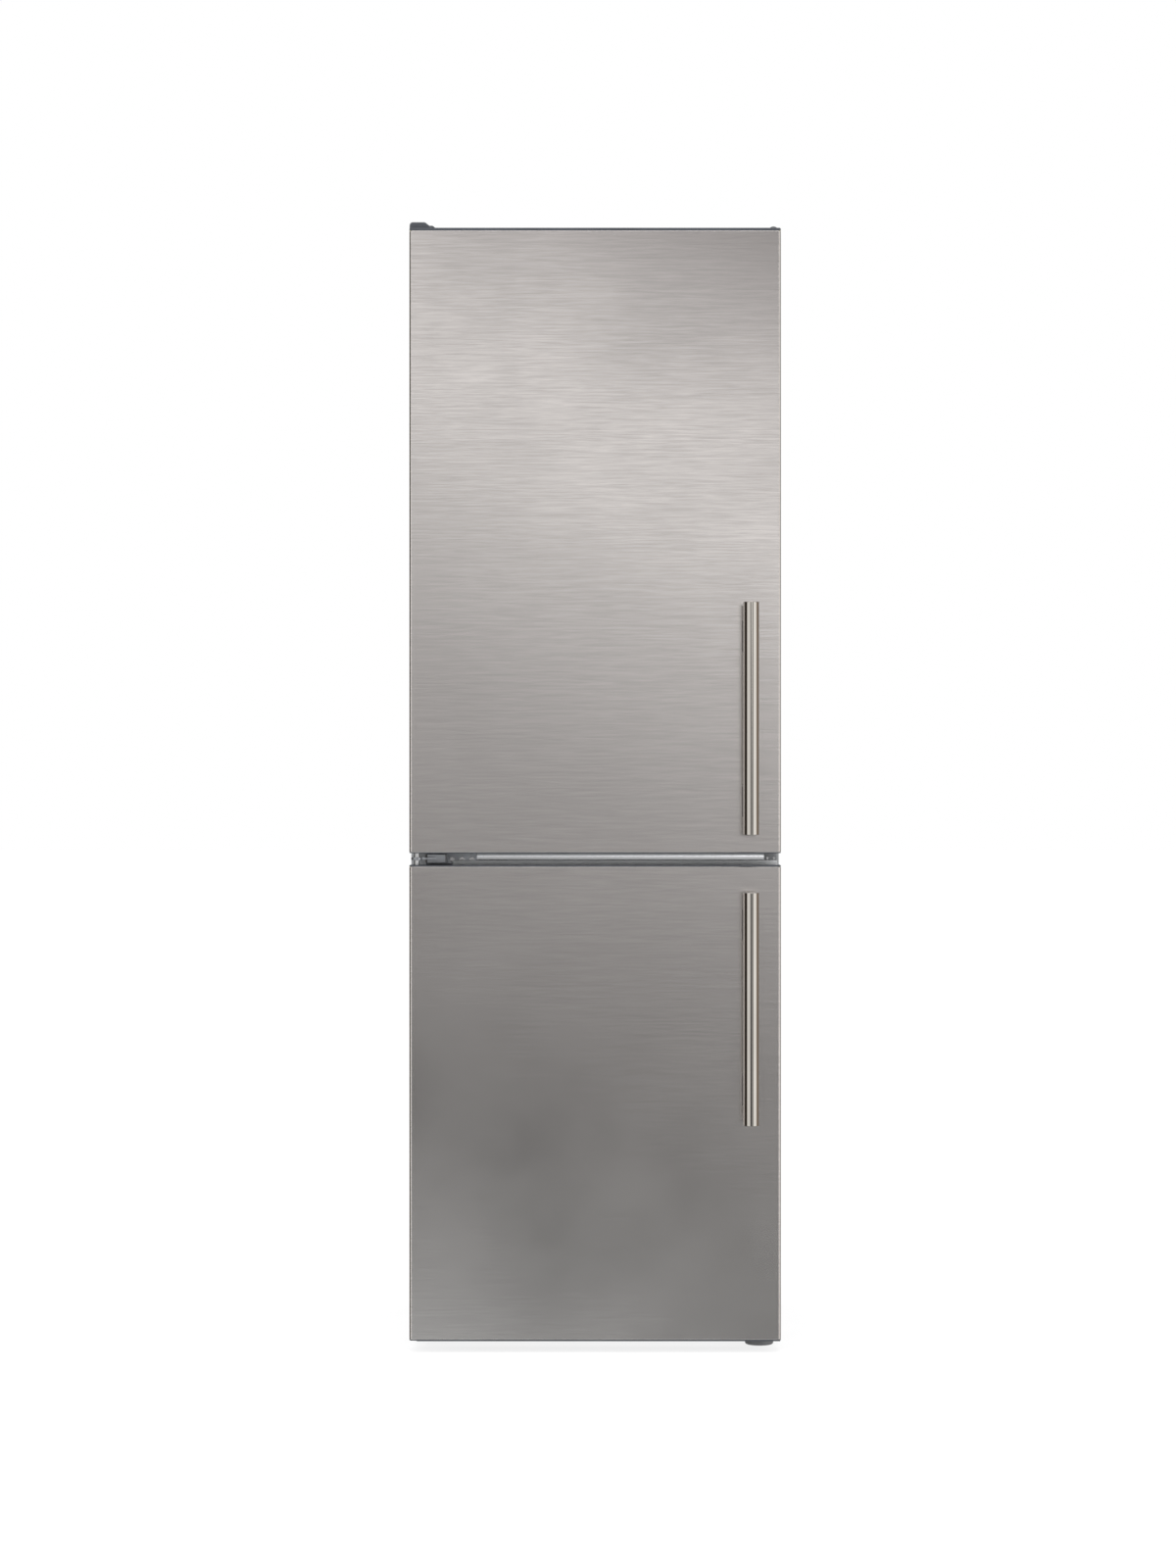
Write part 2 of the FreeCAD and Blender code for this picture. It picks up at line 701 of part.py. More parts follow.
def fridge_liner():
    """The moulded liner of the fridge space with its shelf ribs and crisper runners."""
    shell = liner_body(fridge_cavity, bar_z1, cabinet_z1 - TOP_FLANGE).cut(fridge_cavity(0))
    rib_end = cavity_rear - RIB_END_GAP
    extras = []
    for side in (-1, 1):
        for level in shelf_levels:
            extras.append(wall_rib(side, cabinet_y + RIB_START, rib_end, level))
        extras.append(floor_runner(side, cabinet_y + RIB_START, rib_end, fridge_z0))
    return fuse([shell] + extras)


def freezer_liner():
    """The moulded liner of the freezer space with its shelf ribs and drawer runners."""
    shell = liner_body(freezer_cavity, sill_z, bar_z0).cut(freezer_cavity(0))
    lower, upper = freezer_shelf_levels
    start = cabinet_y + FREEZER_SHELF_START
    extras = []
    for side in (-1, 1):
        extras.append(wall_rib(side, start, step_y - CAVITY_RADIUS, lower - GLASS))
        extras.append(wall_rib(side, start, evaporator_cover_y - RIB_WIDTH, upper - GLASS))
        extras.append(floor_runner(side, start, step_y - RIB_END_GAP, freezer_z0))
    return fuse([shell] + extras)


def cabinet_insulation(parts):
    """The foam between the sheets and the liners."""
    foam = block(-wall_x, wall_x, cabinet_y + SHEET, back_y - SHEET, cabinet_z0 + SHEET, cabinet_z1 - SHEET)
    room = block(-side_x, side_x, compartment_y - SHEET, rear_y + OVERRUN, cabinet_z0 - OVERRUN,
                 compartment_z1 + SHEET)
    foam = foam.cut(room)
    foam = foam.cut(liner_body(fridge_cavity, bar_z1, cabinet_z1 - TOP_FLANGE))
    foam = foam.cut(liner_body(freezer_cavity, sill_z, bar_z0))
    for name in ("side_panels", "mullion_crossbar", "top_panel", "bottom_panel"):
        foam = foam.cut(parts[name])
    return foam


def mullion_crossbar():
    """The channel across the cabinet between the two door openings."""
    web = block(-flange_x, flange_x, cabinet_y, cabinet_y + BAR_SHEET, bar_z0, bar_z1)
    lips = []
    for low in (bar_z0, bar_z1 - BAR_SHEET):
        lip = block(-flange_x, flange_x, cabinet_y + LINER, cabinet_y + BAR_LIP, low, low + BAR_SHEET)
        bridge = block(-flange_x, flange_x, cabinet_y, cabinet_y + LINER, low, low + BAR_SHEET)
        lips += [lip, bridge]
    return fuse([web] + lips)


def mullion_end_cover():
    """The small moulded cover over the right end of the crossbar."""
    right = side_x - END_COVER_INSET
    cover = block(right - END_COVER_WIDTH, right, cabinet_y - END_COVER_THICK, cabinet_y,
                  gap_z - END_COVER_HEIGHT / 2, gap_z + END_COVER_HEIGHT / 2)
    return chamfer(cover, END_COVER_THICK / 3, lambda d, m: m.y < cabinet_y - END_COVER_THICK + SHEET)


def pin_hole(z0, z1):
    """The hole of a hinge pin through a bracket."""
    return rod(hinge_x, hinge_y, z0 - OVERRUN, PIN_DIAMETER / 2, z1 - z0 + OVERRUN * 2, Z_AXIS)


def middle_hinge_bracket():
    """The bracket between the doors: flange on the cabinet, stop block and arm with the pin's eye."""
    block_x0 = hinge_x + MIDDLE_BLOCK_START
    block_x1 = block_x0 + MIDDLE_BLOCK_WIDTH
    flange_end = block_x1 + MIDDLE_FLANGE
    plate_z0 = gap_z - MIDDLE_PLATE / 2
    flange = block(block_x0, flange_end, cabinet_y - FLANGE_THICK, cabinet_y,
                   gap_z - MIDDLE_FLANGE_HEIGHT / 2, gap_z + MIDDLE_FLANGE_HEIGHT / 2)
    notch = disc(flange_end - NOTCH_RADIUS * 3, cabinet_y - OVERRUN, gap_z + MIDDLE_FLANGE_HEIGHT / 2,
                 NOTCH_RADIUS, OVERRUN * 2, Y_AXIS)
    stop = block(block_x0, block_x1, cabinet_y - MIDDLE_BLOCK_DEPTH, cabinet_y,
                 gap_z - MIDDLE_BLOCK_HEIGHT / 2, gap_z + MIDDLE_BLOCK_HEIGHT / 2)
    stop = chamfer(stop, FLANGE_THICK, lambda d, m: upright(d) and m.y < cabinet_y - MIDDLE_BLOCK_DEPTH / 2)
    arm = prism_z([
        (hinge_x, hinge_y - HINGE_EYE_RADIUS),
        (block_x0 + MIDDLE_BLOCK_WIDTH / 2, cabinet_y - MIDDLE_BLOCK_DEPTH),
        (block_x1, cabinet_y - FLANGE_THICK), (block_x0, cabinet_y - FLANGE_THICK),
        (hinge_x, hinge_y + HINGE_EYE_RADIUS),
    ], plate_z0, plate_z0 + MIDDLE_PLATE)
    eye = disc(hinge_x, hinge_y, plate_z0, HINGE_EYE_RADIUS, MIDDLE_PLATE, Z_AXIS)
    return fuse([flange.cut(notch), stop, arm, eye]).cut(pin_hole(plate_z0, plate_z0))


def top_hinge_bracket():
    """The flat plate on the cabinet's top that carries the upper pin."""
    x0 = hinge_x - HINGE_EYE_RADIUS
    end = cabinet_y + TOP_HINGE_LENGTH
    plate = block(x0, x0 + TOP_HINGE_WIDTH, hinge_y, end, cabinet_z1, cabinet_z1 + TOP_HINGE_PLATE)
    plate = chamfer(plate, HINGE_EYE_RADIUS, lambda d, m: upright(d) and m.x > x0)
    eye = disc(hinge_x, hinge_y, cabinet_z1, HINGE_EYE_RADIUS, TOP_HINGE_PLATE, Z_AXIS)
    return fuse([plate, eye]).cut(pin_hole(cabinet_z1, cabinet_z1))


def bottom_hinge_bracket():
    """The angle under the lower door that carries the bottom pin."""
    z1 = lower_z0 - BOTTOM_PLATE_GAP
    z0 = z1 - BOTTOM_PLATE
    x0 = hinge_x - HINGE_EYE_RADIUS
    plate = block(x0, x0 + BOTTOM_FLANGE_WIDTH, hinge_y, cabinet_y, z0, z1)
    plate = chamfer(plate, HINGE_EYE_RADIUS, lambda d, m: upright(d) and m.y < hinge_y + SHEET and m.x > x0)
    eye = disc(hinge_x, hinge_y, z0, HINGE_EYE_RADIUS, BOTTOM_PLATE, Z_AXIS)
    flange = block(x0, x0 + BOTTOM_FLANGE_WIDTH, cabinet_y - FLANGE_THICK, cabinet_y, z0, bottom_flange_z1)
    return fuse([plate, eye, flange]).cut(pin_hole(z0, z0))


def hinge_pins():
    """The three door pins, each pressed into its bracket."""
    bottom_z = lower_z0 - BOTTOM_PLATE_GAP - BOTTOM_PLATE
    spans = (
        (upper_z1 - PIN_REACH, cabinet_z1 + TOP_HINGE_PLATE),
        (lower_z1 - PIN_REACH, upper_z0 + PIN_REACH),
        (bottom_z, lower_z0 + PIN_REACH),
    )
    pins = []
    for z0, z1 in spans:
        pins.append(rod(hinge_x, hinge_y, z0, PIN_DIAMETER / 2, z1 - z0, Z_AXIS))
    return Part.makeCompound(pins)


def row(start, length, count):
    """The middles of equal spaces along a length."""
    pitch = length / count
    return [start + pitch / 2 + pitch * i for i in range(count)]


def hinge_screws():
    """The hexagonal screws of the three brackets and the two small screws of the end cover."""
    screws = []
    top_z = cabinet_z1 + TOP_HINGE_PLATE
    plate_x = hinge_x - HINGE_EYE_RADIUS + TOP_HINGE_WIDTH / 2
    for i in range(BRACKET_SCREWS):
        y = cabinet_y + SCREW_HEAD + TOP_SCREW_PITCH * i
        screws.append(hex_screw(plate_x, y, top_z, SCREW_HEAD, SCREW_HEAD_HEIGHT, Z_AXIS))
    face = cabinet_y - FLANGE_THICK
    middle_x0 = hinge_x + MIDDLE_BLOCK_START + MIDDLE_BLOCK_WIDTH
    middle_z = gap_z - SMALL_SCREW_HEAD / 2
    bottom_x0 = hinge_x - HINGE_EYE_RADIUS
    bottom_z = (cabinet_z0 + bottom_flange_z1) / 2
    for x0, width, z in ((middle_x0, MIDDLE_FLANGE, middle_z), (bottom_x0, BOTTOM_FLANGE_WIDTH, bottom_z)):
        for x in row(x0, width, BRACKET_SCREWS):
            screws.append(hex_screw(x, face, z, SCREW_HEAD, SCREW_HEAD_HEIGHT, -Y_AXIS))
    cover_x = side_x - END_COVER_INSET - END_COVER_WIDTH / 2
    for side in (-1, 1):
        x = cover_x + side * END_COVER_WIDTH / 4
        screws.append(hex_screw(x, cabinet_y - END_COVER_THICK, gap_z, SMALL_SCREW_HEAD,
                                SMALL_SCREW_HEIGHT, -Y_AXIS))
    return Part.makeCompound(screws)


def cover_section(x0, width, z0, z1, wall):
    """The outline of the hinge cover across the cabinet, moved inwards by a wall."""
    left = x0 + wall
    right = x0 + width - wall
    top = z1 - wall
    return [
        (left, z0), (left, top - COVER_EDGE), (left + COVER_EDGE, top), (right - COVER_SLOPE, top),
        (right, top - (z1 - z0) / 2), (right, z0),
    ]


def top_hinge_cover():
    """The moulded cover of the top hinge, open underneath."""
    x0 = hinge_x - HINGE_EYE_RADIUS - COVER_GAP - COVER_WALL
    low = cabinet_z1 - COVER_DROP
    front_y = hinge_y - COVER_OVERHANG
    end = cabinet_y + COVER_LENGTH
    front_z = cabinet_z1 + COVER_FRONT_HEIGHT
    rear_z = cabinet_z1 + COVER_REAR_HEIGHT
    inner_y = front_y + COVER_WALL
    front = prism_y(cover_section(x0, COVER_WIDTH, low, front_z, 0), front_y, cabinet_y)
    rear = prism_y(cover_section(x0, COVER_REAR_WIDTH, cabinet_z1, rear_z, 0), cabinet_y, end)
    hollow = prism_y(cover_section(x0, COVER_WIDTH, low, front_z, COVER_WALL), inner_y, cabinet_y)
    rear_hollow = prism_y(cover_section(x0, COVER_REAR_WIDTH, cabinet_z1, rear_z, COVER_WALL),
                          cabinet_y + COVER_WALL, end - COVER_WALL)
    passage = prism_y(cover_section(x0, COVER_WIDTH, cabinet_z1, front_z, COVER_WALL),
                      cabinet_y - COVER_WALL, cabinet_y + COVER_WALL)
    return fuse([front, rear]).cut(hollow).cut(rear_hollow).cut(passage)


def door_outline(z0, z1):
    """A door as a plain solid with its front edges rounded."""
    solid = block(-side_x, side_x, door_y, door_rear, z0, z1)
    return fillet(solid, PAN_RADIUS, lambda d, m: upright(d) and m.y < door_y + PAN_RADIUS)


def pan_inside(low, high, rear):
    """The room inside a door's pan from its front sheet to a rear plane."""
    solid = block(-side_x + PAN_SHEET, side_x - PAN_SHEET, door_y + PAN_SHEET, rear, low, high)
    return fillet(solid, PAN_RADIUS - PAN_SHEET, lambda d, m: upright(d) and m.y < door_y + PAN_RADIUS)


def door_skin(z0, z1):
    """The folded steel pan of a door: front, sides and narrow returns."""
    low = z0 + CAP_THICK
    high = z1 - CAP_THICK
    pan_rear = door_rear - DOOR_LINER
    rear = block(-side_x, side_x, pan_rear, door_rear, low, high)
    outside = door_outline(low, high).cut(rear)
    inside = pan_inside(low, high, pan_rear - PAN_SHEET)
    mouth_x = side_x - PAN_RETURN
    mouth = block(-mouth_x, mouth_x, door_rear - DOOR_DEPTH / 2, door_rear, low, high)
    return outside.cut(inside).cut(mouth)


def pin_cup(z, into):
    """The closed cup for a hinge pin inside a door cap; into is 1 upwards and -1 downwards."""
    radius = PIN_DIAMETER / 2 + PIN_CLEARANCE
    length = PIN_REACH + PIN_END_GAP
    way = Z_AXIS * into
    cup = disc(hinge_x, hinge_y, z, radius + BOSS_WALL, length + BOSS_FLOOR, way)
    bore = rod(hinge_x, hinge_y, z, radius, length, way)
    return cup, bore


def door_cap(z, into):
    """A moulded end cap with a rib inside the pan and a cup for the pin."""
    far = z + into * CAP_THICK
    rib_end = far + into * CAP_RIB
    plate = door_outline(min(z, far), max(z, far))
    low, high = min(far, rib_end), max(far, rib_end)
    pan_x = side_x - PAN_SHEET
    pan_rear = door_rear - DOOR_LINER - PAN_SHEET
    outer = block(-pan_x, pan_x, door_y + PAN_SHEET, pan_rear, low, high)
    outer = chamfer(outer, PAN_RADIUS - PAN_SHEET, lambda d, m: upright(d) and m.y < door_y + PAN_RADIUS)
    inner = block(-pan_x + CAP_RIB_THICK, pan_x - CAP_RIB_THICK, door_y + PAN_SHEET + CAP_RIB_THICK,
                  pan_rear - CAP_RIB_THICK, low, high)
    cup, bore = pin_cup(z, into)
    return fuse([plate, outer.cut(inner), cup]).cut(bore)


def upper_door_caps():
    """Both caps of the upper door and the domed plug of the unused hinge hole."""
    shoulder = (PLUG_RISE / 2, PLUG_RADIUS * PLUG_SHOULDER_SHARE)
    stations = [(0, PLUG_RADIUS), shoulder, (PLUG_RISE, PLUG_RADIUS / 2)]
    plug = turned(stations, ROUND_SIDES, Vector(-hinge_x, hinge_y, upper_z1), Z_AXIS)
    return Part.makeCompound([door_cap(upper_z0, 1), door_cap(upper_z1, -1), plug])


def lower_door_caps():
    """Both caps of the lower door; the top one rises to the rear beside the hinge."""
    wedge = prism_x([
        (door_y + CAP_WEDGE_START, lower_z1), (door_rear, lower_z1), (door_rear, lower_z1 + CAP_WEDGE_RISE),
        (door_rear - CAP_RIB_THICK, lower_z1 + CAP_WEDGE_RISE),
    ], hinge_x + CAP_WEDGE_CLEAR, side_x - CAP_WEDGE_END)
    return Part.makeCompound([door_cap(lower_z0, 1), fuse([door_cap(lower_z1, -1), wedge])])


def ring(x, z0, z1, y0, y1, width):
    """A rectangular frame around a door opening."""
    outer = block(-x, x, y0, y1, z0, z1)
    return outer.cut(block(-x + width, x - width, y0, y1, z0 + width, z1 - width))


def ridge(inset):
    """The raised frame on the upper liner, or its foam core when inset by the liner."""
    outer = block(-ridge_x + inset, ridge_x - inset, door_rear - inset,
                  door_rear + RIDGE_DEPTH - inset, ridge_z0 + inset, ridge_z1 - inset)
    reach = RIDGE_THICK - inset
    inner = block(-ridge_x + reach, ridge_x - reach, door_rear - inset,
                  door_rear + RIDGE_DEPTH, ridge_z0 + reach, ridge_z1 - reach)
    frame = outer.cut(inner)
    if inset:
        return frame
    return fillet(frame, RIDGE_RADIUS, lambda d, m: m.y > door_rear + RIDGE_DEPTH - SHEET and
                  (abs(m.x) > ridge_x - SHEET or m.z < ridge_z0 + SHEET
                   or m.z > ridge_z1 - SHEET))


def bin_lugs(floor, height):
    """The pair of lugs that carries one bin, under the hooks at its sides."""
    x1 = ridge_x - RIDGE_THICK
    top = floor + height - BIN_RAIL
    y0 = door_rear + LUG_START
    y1 = door_rear + RIDGE_DEPTH - LUG_END
    return [block(-x1, -x1 + LUG_WIDTH, y0, y1, top - LUG_HEIGHT, top),
            block(x1 - LUG_WIDTH, x1, y0, y1, top - LUG_HEIGHT, top)]


def upper_door_liner():
    """The moulded liner of the upper door: sheet, raised frame and bin lugs."""
    sheet = block(-side_x, side_x, door_rear - DOOR_LINER, door_rear, upper_z0 + CAP_THICK,
                  upper_z1 - CAP_THICK)
    pieces = [sheet, ridge(0)]
    for floor in bin_floors:
        pieces += bin_lugs(floor, BIN_HEIGHT)
    pieces += bin_lugs(bottle_floor, BOTTLE_HEIGHT)
    return fuse(pieces).cut(ridge(DOOR_LINER))


def raised_panel(inset):
    """The low sloped panel on the lower liner, or its foam core when inset by the liner."""
    x = side_x - PANEL_INSET - inset
    z0 = freezer_z0 + PANEL_SLOPE + inset
    z1 = freezer_z1 - PANEL_SLOPE - inset
    s = PANEL_SLOPE
    top_y = door_rear + PANEL_RISE - inset
    foot = [Vector(px, door_rear - inset, pz) for px, pz in ((-x, z0), (x, z0), (x, z1), (-x, z1))]
    top = [Vector(px, top_y, pz) for px, pz in
           ((-x + s, z0 + s), (x - s, z0 + s), (x - s, z1 - s), (-x + s, z1 - s))]
    return skinned([foot, top])


def lower_door_liner():
    """The moulded liner of the lower door: sheet and raised panel."""
    sheet = block(-side_x, side_x, door_rear - DOOR_LINER, door_rear, lower_z0 + CAP_THICK,
                  lower_z1 - CAP_THICK)
    return fuse([sheet, raised_panel(0)]).cut(raised_panel(DOOR_LINER))


def door_insulation(z0, z1, core, parts, names):
    """The foam inside a door."""
    foam = pan_inside(z0 + CAP_THICK, z1 - CAP_THICK, door_rear - DOOR_LINER)
    foam = fuse([foam, core(DOOR_LINER)])
    for z, into in ((z0, 1), (z1, -1)):
        foam = foam.cut(pin_cup(z, into)[0])
    for name in names:
        foam = foam.cut(parts[name])
    return foam


def door_gasket(z0, z1):
    """The magnetic gasket: foot in the liner, narrow fold and wide sealing face."""
    x = side_x - GASKET_SIDE_INSET
    face_y = cabinet_y - GASKET_CLEARANCE
    foot_y = door_rear + GASKET_FOOT_DEPTH
    fold_y = foot_y + GASKET_FOLD_DEPTH
    step = GASKET_FOLD_STEP
    foot_inset = (GASKET_WIDTH - GASKET_FOOT) / 2
    foot = ring(x - foot_inset, z0 + foot_inset, z1 - foot_inset, door_rear, foot_y, GASKET_FOOT)
    fold_inset = foot_inset + step
    fold = ring(x - fold_inset, z0 + fold_inset, z1 - fold_inset, foot_y, fold_y, GASKET_FOOT - step * 2)
    face = ring(x, z0, z1, fold_y, face_y, GASKET_WIDTH)
    return fuse([foot, fold, face])


def handle_bar(z0):
    """The round bar of a handle."""
    return rod(handle_x, handle_y, z0, HANDLE_DIAMETER / 2, HANDLE_LENGTH, Z_AXIS)


def handle_brackets(z0):
    """The two saddle brackets between a bar and the door."""
    brackets = []
    bar = rod(handle_x, handle_y, z0, HANDLE_DIAMETER / 2, HANDLE_LENGTH, Z_AXIS)
    half = BRACKET_WIDTH / 2
    base_half = BRACKET_BASE_WIDTH / 2
    base_y = door_y - BRACKET_BASE_DEPTH
    neck_half = half - SADDLE_DEPTH / 2
    saddle_y = handle_y + HANDLE_DIAMETER / 2 + SADDLE_DEPTH / 2
    outline = [
        (handle_x - base_half, door_y), (handle_x - base_half, base_y),
        (handle_x - neck_half, base_y - SADDLE_DEPTH),
        (handle_x - neck_half, saddle_y), (handle_x - half, saddle_y - SADDLE_DEPTH / 2),
        (handle_x - half, handle_y + SADDLE_DEPTH), (handle_x + half, handle_y + SADDLE_DEPTH),
        (handle_x + half, saddle_y - SADDLE_DEPTH / 2), (handle_x + neck_half, saddle_y),
        (handle_x + neck_half, base_y - SADDLE_DEPTH), (handle_x + base_half, base_y),
        (handle_x + base_half, door_y),
    ]
    lows = (z0 + BRACKET_END_GAP, z0 + HANDLE_LENGTH - BRACKET_END_GAP - BRACKET_HEIGHT)
    for low in lows:
        brackets.append(prism_z(outline, low, low + BRACKET_HEIGHT).cut(bar))
    return Part.makeCompound(brackets)


def bin_plan(x, y0, y1, z0, z1, radius):
    """A block whose two far corners are rounded by flats."""
    points = [(-x, y0), (x, y0)]
    for quarter, cx in ((0, x - radius), (1, -x + radius)):
        for i in range(CORNER_FLATS + 1):
            angle = math.pi / 2 * (quarter + i / CORNER_FLATS)
            points.append((cx + radius * math.cos(angle), y1 - radius + radius * math.sin(angle)))
    return prism_z(points, z0, z1)


def door_bin(floor, depth_of_bin, height):
    """One open bin with a hook along the top of each side."""
    x = ridge_x - RIDGE_THICK - LUG_WIDTH - BIN_CLEARANCE
    y0 = door_rear + BIN_REAR_GAP
    y1 = y0 + depth_of_bin
    outside = bin_plan(x, y0, y1, floor, floor + height, BIN_RADIUS)
    inside = bin_plan(x - BIN_WALL, y0 + BIN_WALL, y1 - BIN_WALL, floor + BIN_WALL, floor + height,
                      BIN_RADIUS - BIN_WALL)
    pieces = [outside.cut(inside)]
    top = floor + height - BIN_RAIL
    lug_y0 = door_rear + LUG_START
    lug_y1 = door_rear + RIDGE_DEPTH - LUG_END
    for side in (-1, 1):
        start = side * (x - BIN_WALL / 2)
        end = side * (x + BIN_HOOK)
        pieces.append(block(min(start, end), max(start, end), lug_y0, lug_y1, top, top + BIN_HOOK_THICK))
    return fuse(pieces)


def door_bins():
    """The three small bins."""
    return Part.makeCompound([door_bin(floor, BIN_DEPTH, BIN_HEIGHT) for floor in bin_floors])


def bottle_bin():
    """The deep bin at the foot of the upper door."""
    return door_bin(bottle_floor, BOTTLE_DEPTH, BOTTLE_HEIGHT)


def glass_shelves():
    """The three shelves and the crisper's cover, resting on the ribs."""
    x = cavity_x - SHELF_SIDE_GAP
    return Part.makeCompound([
        block(-x, x, shelf_front, shelf_rear, level, level + GLASS) for level in shelf_levels
    ])


def shelf_trim(level, edge_y, side):
    """A grooved strip on one edge of a glass shelf; side is -1 in front and 1 behind."""
    x = cavity_x - RIB_WIDTH - TRIM_SIDE_GAP
    outer = edge_y + side * TRIM_WALL
    inner = edge_y - side * TRIM_GRIP
    y0, y1 = min(outer, inner), max(outer, inner)
    strip = block(-x, x, y0, y1, level - TRIM_WALL, level + GLASS + TRIM_WALL)
    strip = chamfer(strip, TRIM_WALL / 2, lambda d, m: abs(d.x) > abs(d.y) + abs(d.z)
                    and abs(m.y - outer) < TRIM_WALL / 2)
    groove_y0, groove_y1 = min(edge_y, inner - side * TRIM_WALL), max(edge_y, inner - side * TRIM_WALL)
    return strip.cut(block(-side_x, side_x, groove_y0, groove_y1, level, level + GLASS))


def shelf_trims():
    """The front and rear strips of all the glass plates."""
    trims = []
    for level in shelf_levels:
        trims.append(shelf_trim(level, shelf_front, -1))
        trims.append(shelf_trim(level, shelf_rear, 1))
    return Part.makeCompound(trims)


def drawer(half_width, y0, y1, z0, z1):
    """A tapered drawer with a rim, a thicker front and a grip recess in it."""
    body_y0 = y0 + DRAWER_FRONT - DRAWER_WALL
    rim_z = z1 - DRAWER_LIP_HEIGHT
    body_x = half_width - DRAWER_LIP
    body = tub(-body_x, body_x, body_y0 - DRAWER_TAPER, y1 - DRAWER_LIP, z0, z1, DRAWER_WALL,
               DRAWER_RADIUS, DRAWER_TAPER)
    body = body.cut(block(-side_x, side_x, y0 - OVERRUN, body_y0, z0 - OVERRUN, z1 + OVERRUN))
    rim = rounded_block(-half_width, half_width, body_y0, y1, rim_z, z1, DRAWER_LIP)
    rim = rim.cut(rounded_block(-body_x + DRAWER_WALL, body_x - DRAWER_WALL, body_y0 - OVERRUN,
                                y1 - DRAWER_LIP - DRAWER_WALL, rim_z, z1, DRAWER_RADIUS - DRAWER_WALL))
    front = block(-half_width, half_width, y0, y0 + DRAWER_FRONT, z0, z1)
    front = chamfer(front, DRAWER_LIP, lambda d, m: upright(d) and m.y < y0 + DRAWER_LIP)
    grip = block(-GRIP_WIDTH / 2, GRIP_WIDTH / 2, y0 - GRIP_DEPTH, y0 + GRIP_DEPTH,
                 z1 - GRIP_TOP - GRIP_HEIGHT, z1 - GRIP_TOP)
    grip = chamfer(grip, GRIP_DEPTH, lambda d, m: abs(d.y) > abs(d.x) + abs(d.z))
    return fuse([body, rim, front]).cut(grip)


def crisper_drawer():
    """The vegetable drawer under the lowest glass plate."""
    z0 = fridge_z0 + RUNNER_HEIGHT + DRAWER_GAP
    return drawer(crisper_x, cabinet_y + CRISPER_START, cavity_rear - CRISPER_REAR_GAP, z0,
                  crisper_cover_z - CRISPER_TOP_GAP)


def freezer_drawer(z0, z1, rear):
    """One freezer drawer between its seat and what lies over it."""
    return drawer(freezer_drawer_x, cabinet_y + FREEZER_START, rear, z0 + DRAWER_GAP, z1 - DRAWER_TOP_GAP)


def freezer_drawer_bottom():
    """The short drawer in front of the step."""
    return freezer_drawer(freezer_z0 + RUNNER_HEIGHT, low_shelf_z - GLASS, step_y - BOTTOM_DRAWER_REAR_GAP)


def freezer_drawer_middle():
    """The drawer on the lower glass plate."""
    return freezer_drawer(low_shelf_z, freezer_shelf_levels[1] - GLASS,
                          evaporator_cover_y - UPPER_DRAWER_REAR_GAP)


def freezer_drawer_top():
    """The drawer on the upper glass plate."""
    return freezer_drawer(freezer_shelf_levels[1], freezer_z1, evaporator_cover_y - UPPER_DRAWER_REAR_GAP)


def freezer_shelves():
    """The two glass plates on which the freezer drawers slide."""
    x = cavity_x - SHELF_SIDE_GAP
    y0 = cabinet_y + FREEZER_SHELF_START
    ends = (step_y - FREEZER_SHELF_END, evaporator_cover_y - FREEZER_SHELF_END)
    return Part.makeCompound([
        block(-x, x, y0, y1, level - GLASS, level) for level, y1 in zip(freezer_shelf_levels, ends)
    ])


def control_housing():
    """The moulded housing under the ceiling with the lamp's recess, knob hole and switch body."""
    x = HOUSING_HALF_WIDTH
    rear = housing_y + HOUSING_DEPTH
    body = rounded_block(-x, x, housing_y, rear, housing_z, fridge_z1, HOUSING_RADIUS)
    lamp_y = housing_y + LAMP_START
    recess = block(-LAMP_HALF_WIDTH, LAMP_HALF_WIDTH, lamp_y, lamp_y + LAMP_DEPTH, housing_z,
                   housing_z + LAMP_RECESS)
    shaft = rod(KNOB_OFFSET, housing_y, housing_z + HOUSING_HEIGHT / 2, KNOB_SHAFT / 2 + PIN_CLEARANCE,
                KNOB_SHAFT_LENGTH + KNOB_GAP, Y_AXIS)
    switch_y = cabinet_y + SWITCH_BODY_START
    arm = block(x - HOUSING_RADIUS * 2, switch_x + SWITCH_HALF_WIDTH, housing_y, housing_y + OVERRUN,
                fridge_z1 - SWITCH_BODY_HEIGHT, fridge_z1)
    nose = block(switch_x - SWITCH_HALF_WIDTH, switch_x + SWITCH_HALF_WIDTH, switch_y,
                 housing_y + OVERRUN, fridge_z1 - SWITCH_BODY_HEIGHT, fridge_z1)
    nose = chamfer(nose, LINER, lambda d, m: m.y < switch_y + LINER and m.z < fridge_z1 - LINER)
    hole = plunger_block(switch_y, switch_y + PLUNGER_HOLE, PLUNGER_SLACK)
    return fuse([body.cut(recess).cut(shaft), arm, nose]).cut(hole)


def lamp_cover():
    """The translucent cover in the housing's recess."""
    y0 = housing_y + LAMP_START
    x = LAMP_HALF_WIDTH
    outer = block(-x, x, y0, y0 + LAMP_DEPTH, housing_z, housing_z + LAMP_RECESS)
    inner = block(-x + LAMP_WALL, x - LAMP_WALL, y0 + LAMP_WALL, y0 + LAMP_DEPTH - LAMP_WALL,
                  housing_z + LAMP_WALL, housing_z + LAMP_RECESS)
    return outer.cut(inner)


